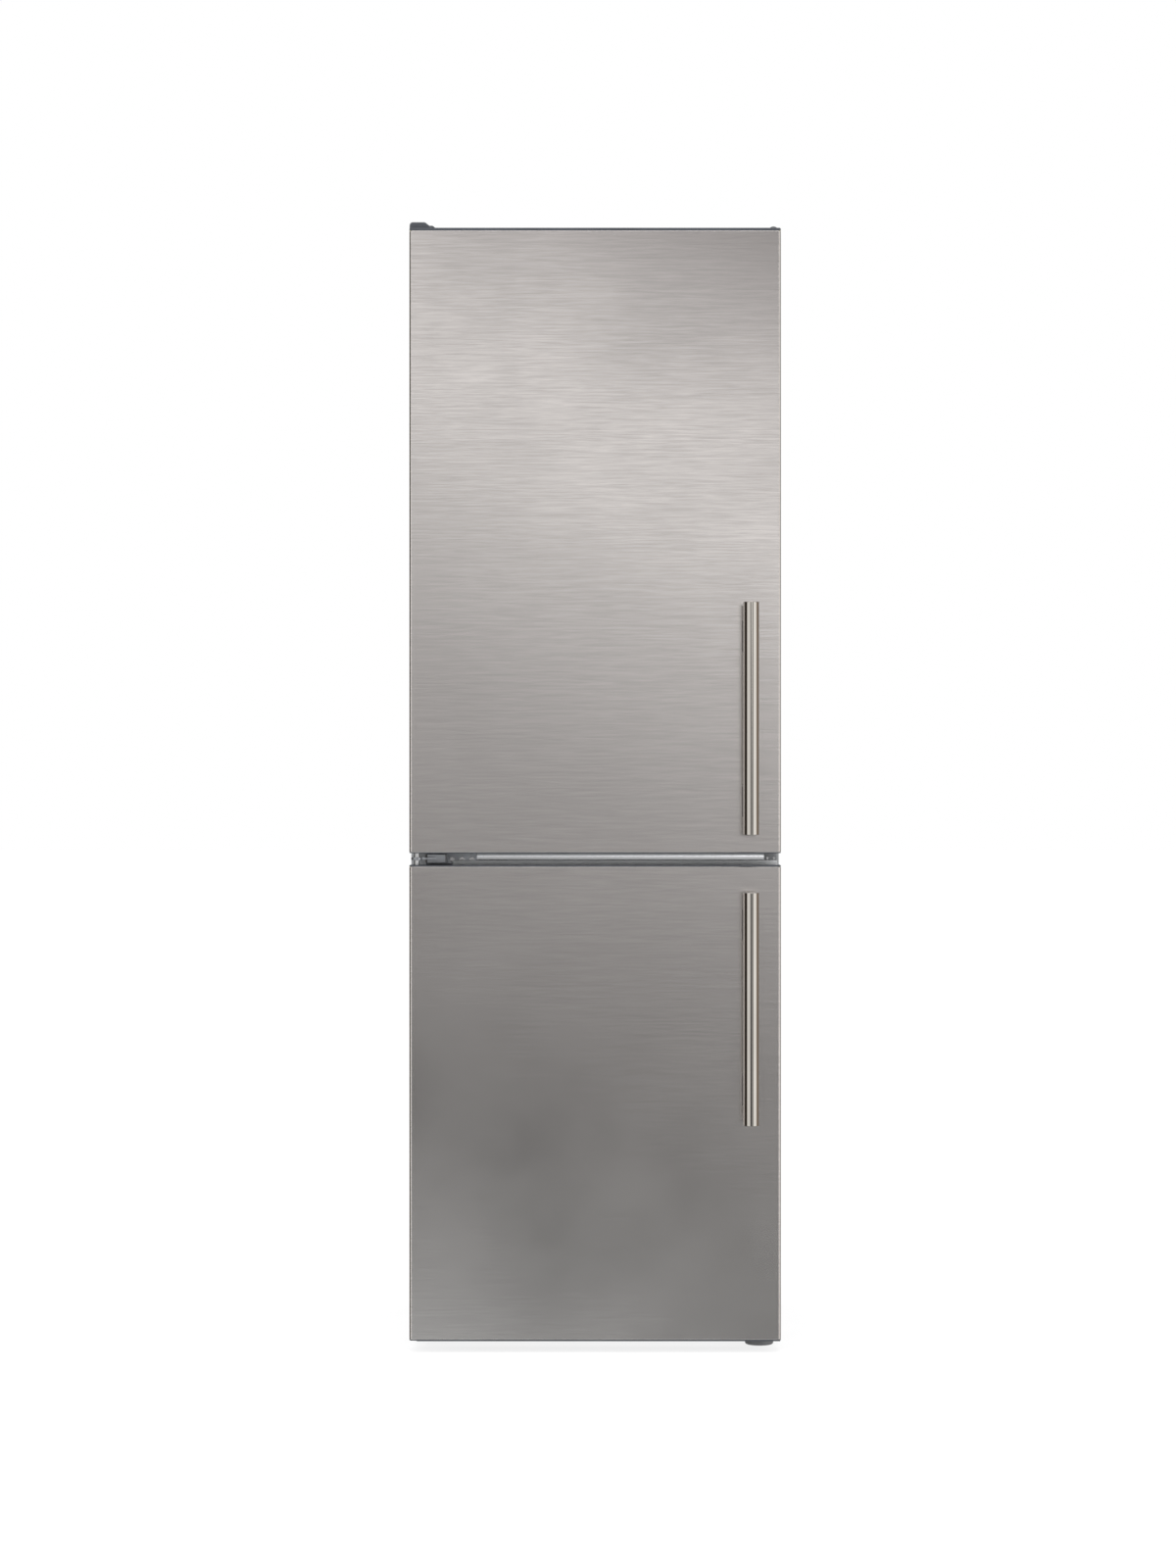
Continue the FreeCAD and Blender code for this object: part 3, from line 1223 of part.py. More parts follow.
def temperature_knob():
    """The round knob with its grip bar and shaft."""
    z = housing_z + HOUSING_HEIGHT / 2
    face = housing_y - KNOB_GAP
    base = disc(KNOB_OFFSET, face - KNOB_DEPTH / 2, z, KNOB_RADIUS, KNOB_DEPTH / 2, Y_AXIS)
    grip = block(KNOB_OFFSET - KNOB_GRIP_WIDTH / 2, KNOB_OFFSET + KNOB_GRIP_WIDTH / 2, face - KNOB_DEPTH,
                 face - KNOB_DEPTH / 2, z - KNOB_RADIUS + LINER, z + KNOB_RADIUS - LINER)
    shaft = rod(KNOB_OFFSET, face - KNOB_DEPTH / 2, z, KNOB_SHAFT / 2, KNOB_DEPTH / 2 + KNOB_SHAFT_LENGTH,
                Y_AXIS)
    return fuse([base, grip, shaft])


def light_switch():
    """The plunger that the closed door holds in."""
    tip = door_rear + RIDGE_DEPTH + PLUNGER_TIP_GAP
    plunger = plunger_block(tip, cabinet_y + SWITCH_BODY_START + PLUNGER_HOLE - PIN_END_GAP, 0)
    return chamfer(plunger, PLUNGER_SIZE / 4, lambda d, m: m.y < tip + PIN_CLEARANCE)


def plunger_block(y0, y1, slack):
    """The square plunger, or its hole when given some slack."""
    half = PLUNGER_SIZE / 2 + slack
    z = fridge_z1 - PLUNGER_DROP
    return block(switch_x - half, switch_x + half, y0, y1, z - half, z + half)


def air_duct_cover():
    """The moulded cover of the air duct with groups of outlet slots beside its middle."""
    y0 = cavity_rear - DUCT_THICK
    cover = block(-DUCT_HALF_WIDTH, DUCT_HALF_WIDTH, y0, cavity_rear, shelf_levels[0] + DUCT_RISE,
                  fridge_z1 - DUCT_TOP_GAP)
    cover = chamfer(cover, DUCT_CHAMFER, lambda d, m: m.y < y0 + SHEET)
    for level in shelf_levels[1:]:
        for side in (-1, 1):
            x = side * DUCT_HALF_WIDTH / 2
            for i in range(DUCT_SLOT_ROWS):
                z = level + DUCT_SLOT_WIDTH + i * DUCT_SLOT_PITCH
                cover = cover.cut(block(x - DUCT_SLOT_WIDTH / 2, x + DUCT_SLOT_WIDTH / 2, y0 - OVERRUN,
                                        y0 + DUCT_SLOT_DEPTH, z, z + DUCT_SLOT_HEIGHT))
    return cover


def evaporator_cover():
    """The panel in front of the evaporator, with side returns, a round grille and return slots."""
    x = cavity_x - EVAPORATOR_COVER_GAP
    z0 = step_z + EVAPORATOR_COVER_GAP
    z1 = freezer_z1 - EVAPORATOR_COVER_GAP
    y0 = evaporator_cover_y
    y1 = y0 + EVAPORATOR_COVER_THICK
    panel = chamfer(block(-x, x, y0, y1, z0, z1), CAVITY_RADIUS, lambda d, m: abs(d.y) > abs(d.x) + abs(d.z))
    hole = disc(0, y0 - OVERRUN, grille_z, GRILLE_RADIUS, OVERRUN * 2, Y_AXIS)
    panel = panel.cut(hole)
    for i in range(RETURN_SLOT_ROWS):
        low = z0 + RETURN_SLOT_START + i * RETURN_SLOT_PITCH
        panel = panel.cut(block(-RETURN_SLOT_WIDTH / 2, RETURN_SLOT_WIDTH / 2, y0 - OVERRUN, y1 + OVERRUN,
                                low, low + RETURN_SLOT_HEIGHT))
    pieces = [panel]
    for side in (-1, 1):
        inner = side * (x - EVAPORATOR_COVER_THICK)
        pieces.append(block(min(side * x, inner), max(side * x, inner), y0, cavity_rear, z0 + CAVITY_RADIUS,
                            z1 - CAVITY_RADIUS))
    pieces += grille_bars(y0, y1)
    return fuse(pieces)


def grille_bars(y0, y1):
    """Crossed bars and rings over the fan."""
    half = GRILLE_BAR / 2
    reach = GRILLE_RADIUS + half
    bars = [block(-half, half, y0, y1, grille_z - reach, grille_z + reach),
            block(-reach, reach, y0, y1, grille_z - half, grille_z + half)]
    bars.append(disc(0, y0, grille_z, GRILLE_HUB, y1 - y0, Y_AXIS))
    spacing = (GRILLE_RADIUS - GRILLE_HUB) / GRILLE_RINGS
    for i in range(1, GRILLE_RINGS):
        radius = GRILLE_HUB + spacing * i + half
        outer = disc(0, y0, grille_z, radius, y1 - y0, Y_AXIS)
        bars.append(outer.cut(disc(0, y0, grille_z, radius - GRILLE_BAR, y1 - y0, Y_AXIS)))
    return bars


def fan_motor():
    """The motor behind the fan, on a plate at the liner's rear wall, with its shaft."""
    fan_y = evaporator_cover_y + EVAPORATOR_COVER_THICK + FAN_GAP
    body_y = fan_y + FAN_DEPTH + FAN_GAP
    body = disc(0, body_y, grille_z, MOTOR_RADIUS, cavity_rear - body_y, Y_AXIS)
    shaft = rod(0, fan_y + LINER, grille_z, MOTOR_SHAFT / 2, body_y - fan_y - LINER, Y_AXIS)
    return fuse([body, shaft])


def freezer_fan():
    """The hub with pitched blades that turns on the motor's shaft."""
    fan_y = evaporator_cover_y + EVAPORATOR_COVER_THICK + FAN_GAP
    hub = disc(0, fan_y, grille_z, FAN_HUB_RADIUS, FAN_DEPTH, Y_AXIS)
    pieces = [hub]
    chord = (FAN_DEPTH - FAN_BLADE_THICK) / math.sin(math.radians(FAN_PITCH_ANGLE))
    for i in range(FAN_BLADES):
        blade = block(-chord / 2, chord / 2, -FAN_BLADE_THICK / 2, FAN_BLADE_THICK / 2,
                      FAN_HUB_RADIUS - FAN_BLADE_THICK, FAN_RADIUS)
        blade.rotate(Vector(0, 0, 0), Z_AXIS, FAN_PITCH_ANGLE)
        blade.rotate(Vector(0, 0, 0), Y_AXIS, 360 * i / FAN_BLADES)
        blade.translate(Vector(0, fan_y + FAN_DEPTH / 2, grille_z))
        pieces.append(blade)
    round_edge = disc(0, fan_y, grille_z, FAN_RADIUS, FAN_DEPTH, Y_AXIS)
    bore = rod(0, fan_y + LINER - PIN_CLEARANCE, grille_z, MOTOR_SHAFT / 2 + PIN_CLEARANCE, FAN_DEPTH,
               Y_AXIS)
    return fuse(pieces).common(round_edge).cut(bore)


def evaporator():
    """The finned block: straight tubes through plates, hung from the rear wall."""
    y = cavity_rear - CAVITY_RADIUS - EVAPORATOR_DEPTH / 2 + EVAPORATOR_TUBE / 2
    half = EVAPORATOR_TUBE / 2
    pieces = []
    reach = evaporator_x + EVAPORATOR_TUBE
    for z in row(evaporator_z0, evaporator_z1 - evaporator_z0, EVAPORATOR_TUBES):
        pieces.append(block(-reach, reach, y - half, y + half, z - half, z + half))
    fin_pitch = 2 * evaporator_x / (EVAPORATOR_FINS - 1)
    for i in range(EVAPORATOR_FINS):
        x = -evaporator_x + fin_pitch * i
        rear = cavity_rear if i in (0, EVAPORATOR_FINS - 1) else y + EVAPORATOR_DEPTH / 2
        pieces.append(block(x - FIN_THICK / 2, x + FIN_THICK / 2, y - EVAPORATOR_DEPTH / 2, rear,
                            evaporator_z0, evaporator_z1))
    return fuse(pieces)


def base_frame():
    """Two rails with foot nuts and riveted roller axles, and the compressor tray on them."""
    pieces = [base_rail(-1), base_rail(1)]
    x = rail_x + RAIL_WIDTH / 2
    pieces.append(block(-x, x, compartment_y, back_y, cabinet_z0, tray_z))
    return Part.makeCompound(pieces)


def base_rail(side):
    """One rail of inverted U section with its foot nut, roller ears and axle."""
    x0 = side * rail_x - RAIL_WIDTH / 2
    x1 = x0 + RAIL_WIDTH
    y0 = cabinet_y + RAIL_FRONT_GAP
    y1 = rear_y - RAIL_FRONT_GAP
    inner_top = cabinet_z0 - RAIL_SHEET
    rail = block(x0, x1, y0, y1, RAIL_BOTTOM, cabinet_z0)
    rail = rail.cut(block(x0 + RAIL_SHEET, x1 - RAIL_SHEET, y0, y1, RAIL_BOTTOM, inner_top))
    pieces = [rail]
    for low in (x0, x1 - RAIL_SHEET):
        ear = block(low, low + RAIL_SHEET, roller_y - EAR_RADIUS, roller_y + EAR_RADIUS,
                    ROLLER_RADIUS - EAR_RADIUS, inner_top)
        pieces.append(chamfer(ear, EAR_RADIUS / 2, lambda d, m: abs(d.x) > abs(d.y) + abs(d.z)
                              and m.z < ROLLER_RADIUS))
    head = AXLE_HEAD_THICK
    pieces.append(rod(x0, roller_y, ROLLER_RADIUS, AXLE_DIAMETER / 2, RAIL_WIDTH, X_AXIS))
    for low in (x0 - head, x1):
        pieces.append(turned([(0, AXLE_HEAD / 2), (head, AXLE_HEAD / 2)], GROMMET_SIDES,
                             Vector(low, roller_y, ROLLER_RADIUS), X_AXIS))
    foot_y = foot_place(side)
    centre = side * rail_x
    pieces.append(polygon_rod(centre, foot_y, inner_top - NUT_HEIGHT, inner_top, NUT_WIDTH / math.sqrt(3),
                              PIPE_SIDES))
    hole = rod(centre, foot_y, RAIL_BOTTOM, STUD_DIAMETER / 2 + STUD_CLEARANCE, inner_top - RAIL_BOTTOM,
               Z_AXIS)
    return fuse(pieces).cut(hole)


def foot_place(side):
    """The y of a foot; the left one stands behind the hinge bracket."""
    return cabinet_y + (LEFT_FOOT_SETBACK if side < 0 else RIGHT_FOOT_SETBACK)


def foot(side):
    """A levelling foot: many-sided disc, hexagon for the spanner and stud."""
    x = side * rail_x
    y = foot_place(side)
    taper = FOOT_TOP_TAPER
    stations = [(0, FOOT_RADIUS), (FOOT_HEIGHT - taper, FOOT_RADIUS), (FOOT_HEIGHT, FOOT_RADIUS - taper)]
    pad = turned(stations, FOOT_SIDES, Vector(x, y, 0), Z_AXIS)
    hexagon = polygon_rod(x, y, FOOT_HEIGHT, FOOT_HEIGHT + FOOT_HEX_HEIGHT, FOOT_HEX / math.sqrt(3),
                          PIPE_SIDES)
    stud_top = cabinet_z0 - RAIL_SHEET - STUD_TOP_GAP
    stud = rod(x, y, FOOT_HEIGHT, STUD_DIAMETER / 2, stud_top - FOOT_HEIGHT, Z_AXIS)
    return fuse([pad, hexagon, stud])


def rear_roller(side):
    """A roller with broken edges and a running fit on its axle."""
    x0 = side * rail_x - ROLLER_WIDTH / 2
    edge = ROLLER_CHAMFER
    rim = ROLLER_RADIUS
    wheel = turned([(0, rim - edge), (edge, rim), (ROLLER_WIDTH - edge, rim), (ROLLER_WIDTH, rim - edge)],
                   ROUND_SIDES, Vector(x0, roller_y, ROLLER_RADIUS), X_AXIS)
    bore = rod(x0, roller_y, ROLLER_RADIUS, AXLE_DIAMETER / 2 + PIN_CLEARANCE, ROLLER_WIDTH, X_AXIS)
    return wheel.cut(bore)


def compressor():
    """The welded shell with domed ends, on its mounting plate, with two stub pipes."""
    low = plate_z + COMPRESSOR_PLATE
    r = COMPRESSOR_RADIUS
    dome = COMPRESSOR_DOME
    seam = low + COMPRESSOR_HEIGHT / 2
    stations = [(dome * (1 - c), r - dome * (1 - s)) for s, c in DOME_SHARES]
    seam_z = COMPRESSOR_HEIGHT / 2
    stations += [(seam_z - COMPRESSOR_SEAM, r), (seam_z - COMPRESSOR_SEAM, r + COMPRESSOR_SEAM),
                 (seam_z + COMPRESSOR_SEAM, r + COMPRESSOR_SEAM), (seam_z + COMPRESSOR_SEAM, r)]
    stations += [(COMPRESSOR_HEIGHT - dome * (1 - c), r - dome * (1 - s)) for s, c in reversed(DOME_SHARES)]
    shell = turned(stations, ROUND_SIDES, Vector(COMPRESSOR_X, compressor_y, low), Z_AXIS)
    half = COMPRESSOR_PLATE_HALF
    plate = rounded_block(COMPRESSOR_X - half, COMPRESSOR_X + half, compressor_y - COMPRESSOR_PLATE_DEPTH,
                          compressor_y + COMPRESSOR_PLATE_DEPTH, plate_z, low, GROMMET_RADIUS)
    pieces = [shell, plate]
    for level in (seam + RELAY_LIFT / 2, seam - RELAY_LIFT / 2):
        x = COMPRESSOR_X - r
        pieces.append(mitred_tube([
            Vector(x + PIPE_BEND, compressor_y, level), Vector(x - PIPE_BEND, compressor_y, level),
            Vector(x - PIPE_BEND * 2, compressor_y, level + PIPE_BEND),
            Vector(x - PIPE_BEND * 2, compressor_y, level + STUB_RISE),
        ], PIPE_RADIUS))
    return fuse(pieces)


def compressor_mounts():
    """The four rubber grommets between the compressor's plate and the tray."""
    grommets = []
    for sx in (-1, 1):
        for sy in (-1, 1):
            x = COMPRESSOR_X + sx * (COMPRESSOR_PLATE_HALF - GROMMET_INSET)
            y = compressor_y + sy * (COMPRESSOR_PLATE_DEPTH - GROMMET_INSET)
            flange = GROMMET_HEIGHT / 3
            stations = [(0, GROMMET_RADIUS), (flange, GROMMET_NECK), (flange * 2, GROMMET_NECK),
                        (GROMMET_HEIGHT, GROMMET_RADIUS)]
            grommets.append(turned(stations, GROMMET_SIDES, Vector(x, y, tray_z), Z_AXIS))
    return Part.makeCompound(grommets)


def compressor_relay_box():
    """The terminal box on the compressor's side."""
    low = plate_z + COMPRESSOR_PLATE + RELAY_LIFT
    x0 = COMPRESSOR_X + COMPRESSOR_RADIUS - RELAY_WIDTH / 2
    x1 = COMPRESSOR_X + COMPRESSOR_RADIUS + RELAY_WIDTH
    box = rounded_block(x0, x1, compressor_y - RELAY_DEPTH / 2, compressor_y + RELAY_DEPTH / 2, low,
                        low + RELAY_HEIGHT, LINER)
    body = disc(COMPRESSOR_X, compressor_y, low - OVERRUN, COMPRESSOR_RADIUS + COMPRESSOR_SEAM,
                RELAY_HEIGHT + OVERRUN * 2, Z_AXIS)
    return box.cut(body)


def filter_drier():
    """The copper drier with tapered ends on its clip at the compartment's front wall."""
    y = rear_y - DRIER_SETBACK
    z = cabinet_z0 + DRIER_LIFT
    stations = [(0, PIPE_RADIUS), (DRIER_TAPER, DRIER_RADIUS), (DRIER_TAPER + DRIER_LENGTH, DRIER_RADIUS),
                (DRIER_TAPER * 2 + DRIER_LENGTH, PIPE_RADIUS)]
    body = turned(stations, GROMMET_SIDES, Vector(DRIER_X, y, z - DRIER_TAPER), Z_AXIS)
    clip = block(DRIER_X - DRIER_CLIP, DRIER_X + DRIER_CLIP, compartment_y, y, z + DRIER_LENGTH / 3,
                 z + DRIER_LENGTH / 2)
    return fuse([body, clip])


def drip_tray():
    """The tray over the compressor in which defrost water dries."""
    z0 = plate_z + COMPRESSOR_PLATE + COMPRESSOR_HEIGHT
    half = DRIP_TRAY_DEPTH / 2
    x = DRIP_TRAY_HALF_WIDTH
    return tub(COMPRESSOR_X - x, COMPRESSOR_X + x, compressor_y - half, compressor_y + half, z0,
               z0 + DRIP_TRAY_HEIGHT, DRIP_TRAY_WALL, DRAWER_RADIUS, DRIP_TRAY_TAPER)


def mains_inlet():
    """The socket for the mains lead, on a stay from the compartment's tray."""
    x0 = inlet_x - INLET_WIDTH / 2
    x1 = inlet_x + INLET_WIDTH / 2
    z0 = cabinet_z0 + INLET_LIFT
    z1 = z0 + INLET_HEIGHT
    y0 = back_y - INLET_DEPTH
    body = rounded_block(x0, x1, y0, back_y, z0, z1, LINER)
    recess = block(x0 + INLET_WALL, x1 - INLET_WALL, back_y - INLET_RECESS, back_y + OVERRUN,
                   z0 + INLET_WALL, z1 - INLET_WALL)
    stay = block(-wall_x, x0 + INLET_WALL, y0, y0 + TRAY_SHEET, z0, z1)
    pieces = [body.cut(recess), stay]
    for i in (-1, 0, 1):
        x = inlet_x + i * INLET_WALL * 2
        z = (z0 + z1) / 2 + (INLET_PIN if i == 0 else -INLET_PIN)
        pieces.append(block(x - INLET_PIN / 2, x + INLET_PIN / 2, back_y - INLET_RECESS - LINER,
                            back_y - LINER, z - INLET_PIN / 2, z + INLET_PIN / 2))
    return fuse(pieces)


def condenser():
    """The serpentine tube with the wires welded on both sides of it."""
    y = rear_y + CONDENSER_STANDOFF
    x = condenser_x
    bend = CONDENSER_PITCH / 2
    run = x - bend
    points = []
    for i in range(CONDENSER_PASSES):
        z = condenser_z0 + i * CONDENSER_PITCH
        way = 1 if i % 2 == 0 else -1
        points.append(Vector(-way * run, y, z))
        if i < CONDENSER_PASSES - 1:
            for k in range(BEND_FLATS):
                angle = math.pi * k / BEND_FLATS
                points.append(Vector(way * (run + bend * math.sin(angle)), y,
                                     z + bend - bend * math.cos(angle)))
        else:
            points.append(Vector(way * run, y, z))
    tube = mitred_tube(points, CONDENSER_TUBE_RADIUS)
    reach = CONDENSER_TUBE_RADIUS * math.cos(math.pi / PIPE_SIDES)
    z0 = condenser_z0 - WIRE_OVERRUN
    z1 = condenser_z1 + WIRE_OVERRUN
    pieces = [tube]
    for i in range(CONDENSER_WIRES):
        wire_x = -run + wire_pitch * i
        for side in (-1, 1):
            near = y + side * reach
            far = near + side * CONDENSER_WIRE
            pieces.append(block(wire_x - CONDENSER_WIRE / 2, wire_x + CONDENSER_WIRE / 2, min(near, far),
                                max(near, far), z0, z1))
    return Part.makeCompound(pieces)


def condenser_spacers():
    """The four blocks that clip the condenser to the back and hold the appliance off the wall."""
    y = rear_y + CONDENSER_STANDOFF
    spacers = []
    tube_hole = CONDENSER_TUBE_RADIUS + PIN_CLEARANCE
    for z in (condenser_z0 + CONDENSER_PITCH, condenser_z1 - CONDENSER_PITCH):
        for side in (-1, 1):
            x = side * spacer_x
            body = block(x - SPACER_WIDTH / 2, x + SPACER_WIDTH / 2, rear_y, rear_y + CONDENSER_SPACE,
                         z - SPACER_HEIGHT / 2, z + SPACER_HEIGHT / 2)
            slot = block(x - SPACER_WIDTH, x + SPACER_WIDTH, y - tube_hole, y + tube_hole,
                         z - tube_hole, z + tube_hole)
            spacers.append(body.cut(slot))
    return Part.makeCompound(spacers)


def build():
    """All sub-parts by name."""
    parts = {}
    for make in (side_panels, top_panel, back_panel, bottom_panel, fridge_liner, freezer_liner,
                 mullion_crossbar, mullion_end_cover, middle_hinge_bracket, top_hinge_bracket,
                 bottom_hinge_bracket, hinge_pins, hinge_screws, top_hinge_cover, upper_door_caps,
                 lower_door_caps, upper_door_liner, lower_door_liner, door_bins, bottle_bin,
                 glass_shelves, shelf_trims, crisper_drawer, freezer_drawer_bottom,
                 freezer_drawer_middle, freezer_drawer_top, freezer_shelves, control_housing, lamp_cover,
                 temperature_knob, light_switch, air_duct_cover, evaporator_cover, fan_motor,
                 freezer_fan, evaporator, base_frame, compressor, compressor_mounts,
                 compressor_relay_box, filter_drier, drip_tray, mains_inlet, condenser,
                 condenser_spacers):
        parts[make.__name__] = make()
    parts["cabinet_insulation"] = cabinet_insulation(parts)
    parts["upper_door_skin"] = door_skin(upper_z0, upper_z1)
    parts["lower_door_skin"] = door_skin(lower_z0, lower_z1)
    parts["upper_door_insulation"] = door_insulation(
        upper_z0, upper_z1, ridge, parts, ("upper_door_skin", "upper_door_caps"))
    parts["lower_door_insulation"] = door_insulation(
        lower_z0, lower_z1, raised_panel, parts, ("lower_door_skin", "lower_door_caps"))
    parts["upper_door_gasket"] = door_gasket(upper_z0 + GASKET_END_INSET, upper_z1 - GASKET_END_INSET)
    parts["lower_door_gasket"] = door_gasket(
        freezer_z0 - GASKET_WIDTH - GASKET_SILL_INSET, lower_z1 - GASKET_END_INSET)
    for name, low in (("upper", upper_handle_z), ("lower", lower_handle_z)):
        parts[name + "_handle_bar"] = handle_bar(low)
        parts[name + "_handle_brackets"] = handle_brackets(low)
    for name, side in (("left", -1), ("right", 1)):
        parts["foot_" + name] = foot(side)
        parts["rear_roller_" + name] = rear_roller(side)
    return parts


def export(parts):
    """Write one STEP file for each sub-part."""
    os.makedirs("parts", exist_ok=True)
    for name, shape in parts.items():
        shape.exportStep("parts/" + name + ".step")
    print(len(parts), "sub-parts")


export(build())
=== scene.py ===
"""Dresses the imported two-door refrigerator: brushed doors, bar handles, hinges, inside, back and studio."""
import logging
import math
from dataclasses import dataclass
from enum import Enum
from functools import cache
from typing import Callable, Sequence

import bmesh
import bpy
from mathutils import Euler, Matrix, Vector


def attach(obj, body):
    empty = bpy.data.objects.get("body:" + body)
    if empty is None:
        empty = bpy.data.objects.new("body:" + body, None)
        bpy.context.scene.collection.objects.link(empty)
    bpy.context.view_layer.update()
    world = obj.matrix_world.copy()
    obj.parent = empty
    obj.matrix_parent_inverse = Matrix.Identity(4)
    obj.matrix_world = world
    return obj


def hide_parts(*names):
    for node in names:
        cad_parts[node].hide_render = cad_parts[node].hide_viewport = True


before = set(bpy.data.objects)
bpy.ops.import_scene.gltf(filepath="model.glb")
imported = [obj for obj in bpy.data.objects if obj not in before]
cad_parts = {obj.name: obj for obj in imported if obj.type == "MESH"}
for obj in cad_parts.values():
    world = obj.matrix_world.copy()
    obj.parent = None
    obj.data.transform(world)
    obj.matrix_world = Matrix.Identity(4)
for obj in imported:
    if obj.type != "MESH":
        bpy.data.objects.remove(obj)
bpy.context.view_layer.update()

LOG = logging.getLogger("refrigerator")
MM = 0.001
MERGE_DISTANCE = MM / 100.0
FULL_TURN = 2.0 * math.pi
QUARTER_TURN = math.pi / 2.0
SMOOTH_ANGLE = math.radians(32.0)
FLAT_ANGLE = math.radians(0.5)
Flat = tuple[float, float]
Point = tuple[float, float, float]
Colour = tuple[float, float, float]
Piece = bpy.types.Object
Node = bpy.types.Node
Socket = bpy.types.NodeSocket
Test = Callable[[Vector, Vector], bool]


class Axis(Enum):
    """The three directions of the row frame."""

    X = (1.0, 0.0, 0.0)
    Y = (0.0, 1.0, 0.0)
    Z = (0.0, 0.0, 1.0)


class Side(Enum):
    """Left and right as seen from the front."""

    LEFT = -1
    RIGHT = 1


# Modelling by hand in edit mode, with every size in millimetres


def put_down() -> None:
    """Leaves edit mode and deselects everything."""
    if bpy.context.object is not None and bpy.context.object.mode != "OBJECT":
        bpy.ops.object.mode_set(mode="OBJECT")
    bpy.ops.object.select_all(action="DESELECT")
    bpy.context.view_layer.objects.active = None


def pick_up(piece: Piece) -> None:
    """Makes one piece the only selected and active one.

    Args:
        piece: The piece.
    """
    put_down()
    piece.select_set(True)
    bpy.context.view_layer.objects.active = piece


def edit(piece: Piece, kind: str = "VERT", action: str = "SELECT") -> None:
    """Enters edit mode with all or none of a piece's vertices, edges or faces selected.

    Args:
        piece: The piece.
        kind: VERT, EDGE or FACE.
        action: SELECT or DESELECT.
    """
    pick_up(piece)
    bpy.ops.object.mode_set(mode="EDIT")
    bpy.ops.mesh.select_mode(type=kind)
    bpy.ops.mesh.select_all(action=action)


def finish_edit(piece: Piece) -> Piece:
    """Leaves edit mode."""
    bpy.ops.object.mode_set(mode="OBJECT")
    return piece


def settle(name: str) -> Piece:
    """Names the new active piece and moves its place into its mesh.

    Args:
        name: The piece's name.

    Returns:
        The piece, its object at the origin, unturned and unscaled.
    """
    piece = bpy.context.object
    piece.name = name
    piece.data.name = name
    bpy.ops.object.transform_apply(location=True, rotation=True, scale=True)
    return piece


def metres(point: Sequence[float]) -> Vector:
    """A point in metres."""
    return Vector(point) * MM


def block(name: str, low: Point, high: Point) -> Piece:
    """A box between two opposite corners.

    Args:
        name: The piece's name.
        low: The lowest corner.
        high: The highest corner.

    Returns:
        The box.
    """
    put_down()
    middle = (metres(low) + metres(high)) / 2.0
    bpy.ops.mesh.primitive_cube_add(size=1.0, location=middle, scale=metres(high) - metres(low))
    return settle(name)


def rod(name: str, start: Point, length: float, radius: float, axis: Axis = Axis.Z, sides: int = 48) -> Piece:
    """A round bar that starts at a point and runs along an axis.

    Args:
        name: The piece's name.
        start: The middle of its first end.
        length: Its length; below zero it runs backwards.
        radius: Its radius.
        axis: The axis that it runs along.
        sides: How many sides it has.

    Returns:
        The bar.
    """
    put_down()
    turn = {Axis.X: (0.0, QUARTER_TURN, 0.0), Axis.Y: (QUARTER_TURN, 0.0, 0.0), Axis.Z: (0.0, 0.0, 0.0)}[axis]
    middle = metres(start) + Vector(axis.value) * length * MM / 2.0
    bpy.ops.mesh.primitive_cylinder_add(
        vertices=sides, radius=radius * MM, depth=abs(length) * MM, location=middle, rotation=turn)
    return settle(name)


def thread_through(name: str, points: Sequence[Point]) -> Piece:
    """A run of edges through points, left in edit mode with everything selected.

    Args:
        name: The piece's name.
        points: The points.

    Returns:
        The run of edges.
    """
    put_down()
    corners = [metres(point) for point in points]
    bpy.ops.mesh.primitive_plane_add(size=MM, location=corners[0])
    piece = settle(name)
    edit(piece)
    bpy.ops.mesh.merge(type="CENTER")
    for here, there in zip(corners, corners[1:]):
        bpy.ops.mesh.extrude_vertices_move(TRANSFORM_OT_translate={"value": there - here})
    bpy.ops.mesh.select_all(action="SELECT")
    return piece


def close_up(piece: Piece) -> Piece:
    """Merges doubles and turns every face outwards.

    Args:
        piece: The piece.

    Returns:
        The same piece.
    """
    edit(piece)
    bpy.ops.mesh.remove_doubles(threshold=MERGE_DISTANCE)
    bpy.ops.mesh.normals_make_consistent(inside=False)
    return finish_edit(piece)


def extruded(name: str, points: Sequence[Point], push: Point) -> Piece:
    """A closed outline pushed along a vector.

    Args:
        name: The piece's name.
        points: The outline's corners.
        push: The vector.

    Returns:
        The closed piece.
    """
    piece = thread_through(name, points)
    bpy.ops.mesh.edge_face_add()
    bpy.ops.mesh.extrude_region_move(TRANSFORM_OT_translate={"value": metres(push)})
    return close_up(piece)


def turned(name: str, profile: Sequence[Flat], base: Point, axis: Axis = Axis.Z, sides: int = 48) -> Piece:
    """A profile spun round an axis.

    Args:
        name: The piece's name.
        profile: (distance along the axis, radius) pairs; a ring repeats its first pair at the end.
        base: The point on the axis where the distance is zero.
        axis: The axis of the spin.
        sides: How many steps the full turn has.

    Returns:
        The closed, spun piece.
    """
    way = Vector(axis.value)
    out = Vector((Axis.Z if axis is Axis.X else Axis.X).value)
    piece = thread_through(name, [Vector(base) + way * along + out * radius for along, radius in profile])
    bpy.ops.mesh.spin(steps=sides, angle=FULL_TURN, center=metres(base), axis=axis.value)
    return close_up(piece)


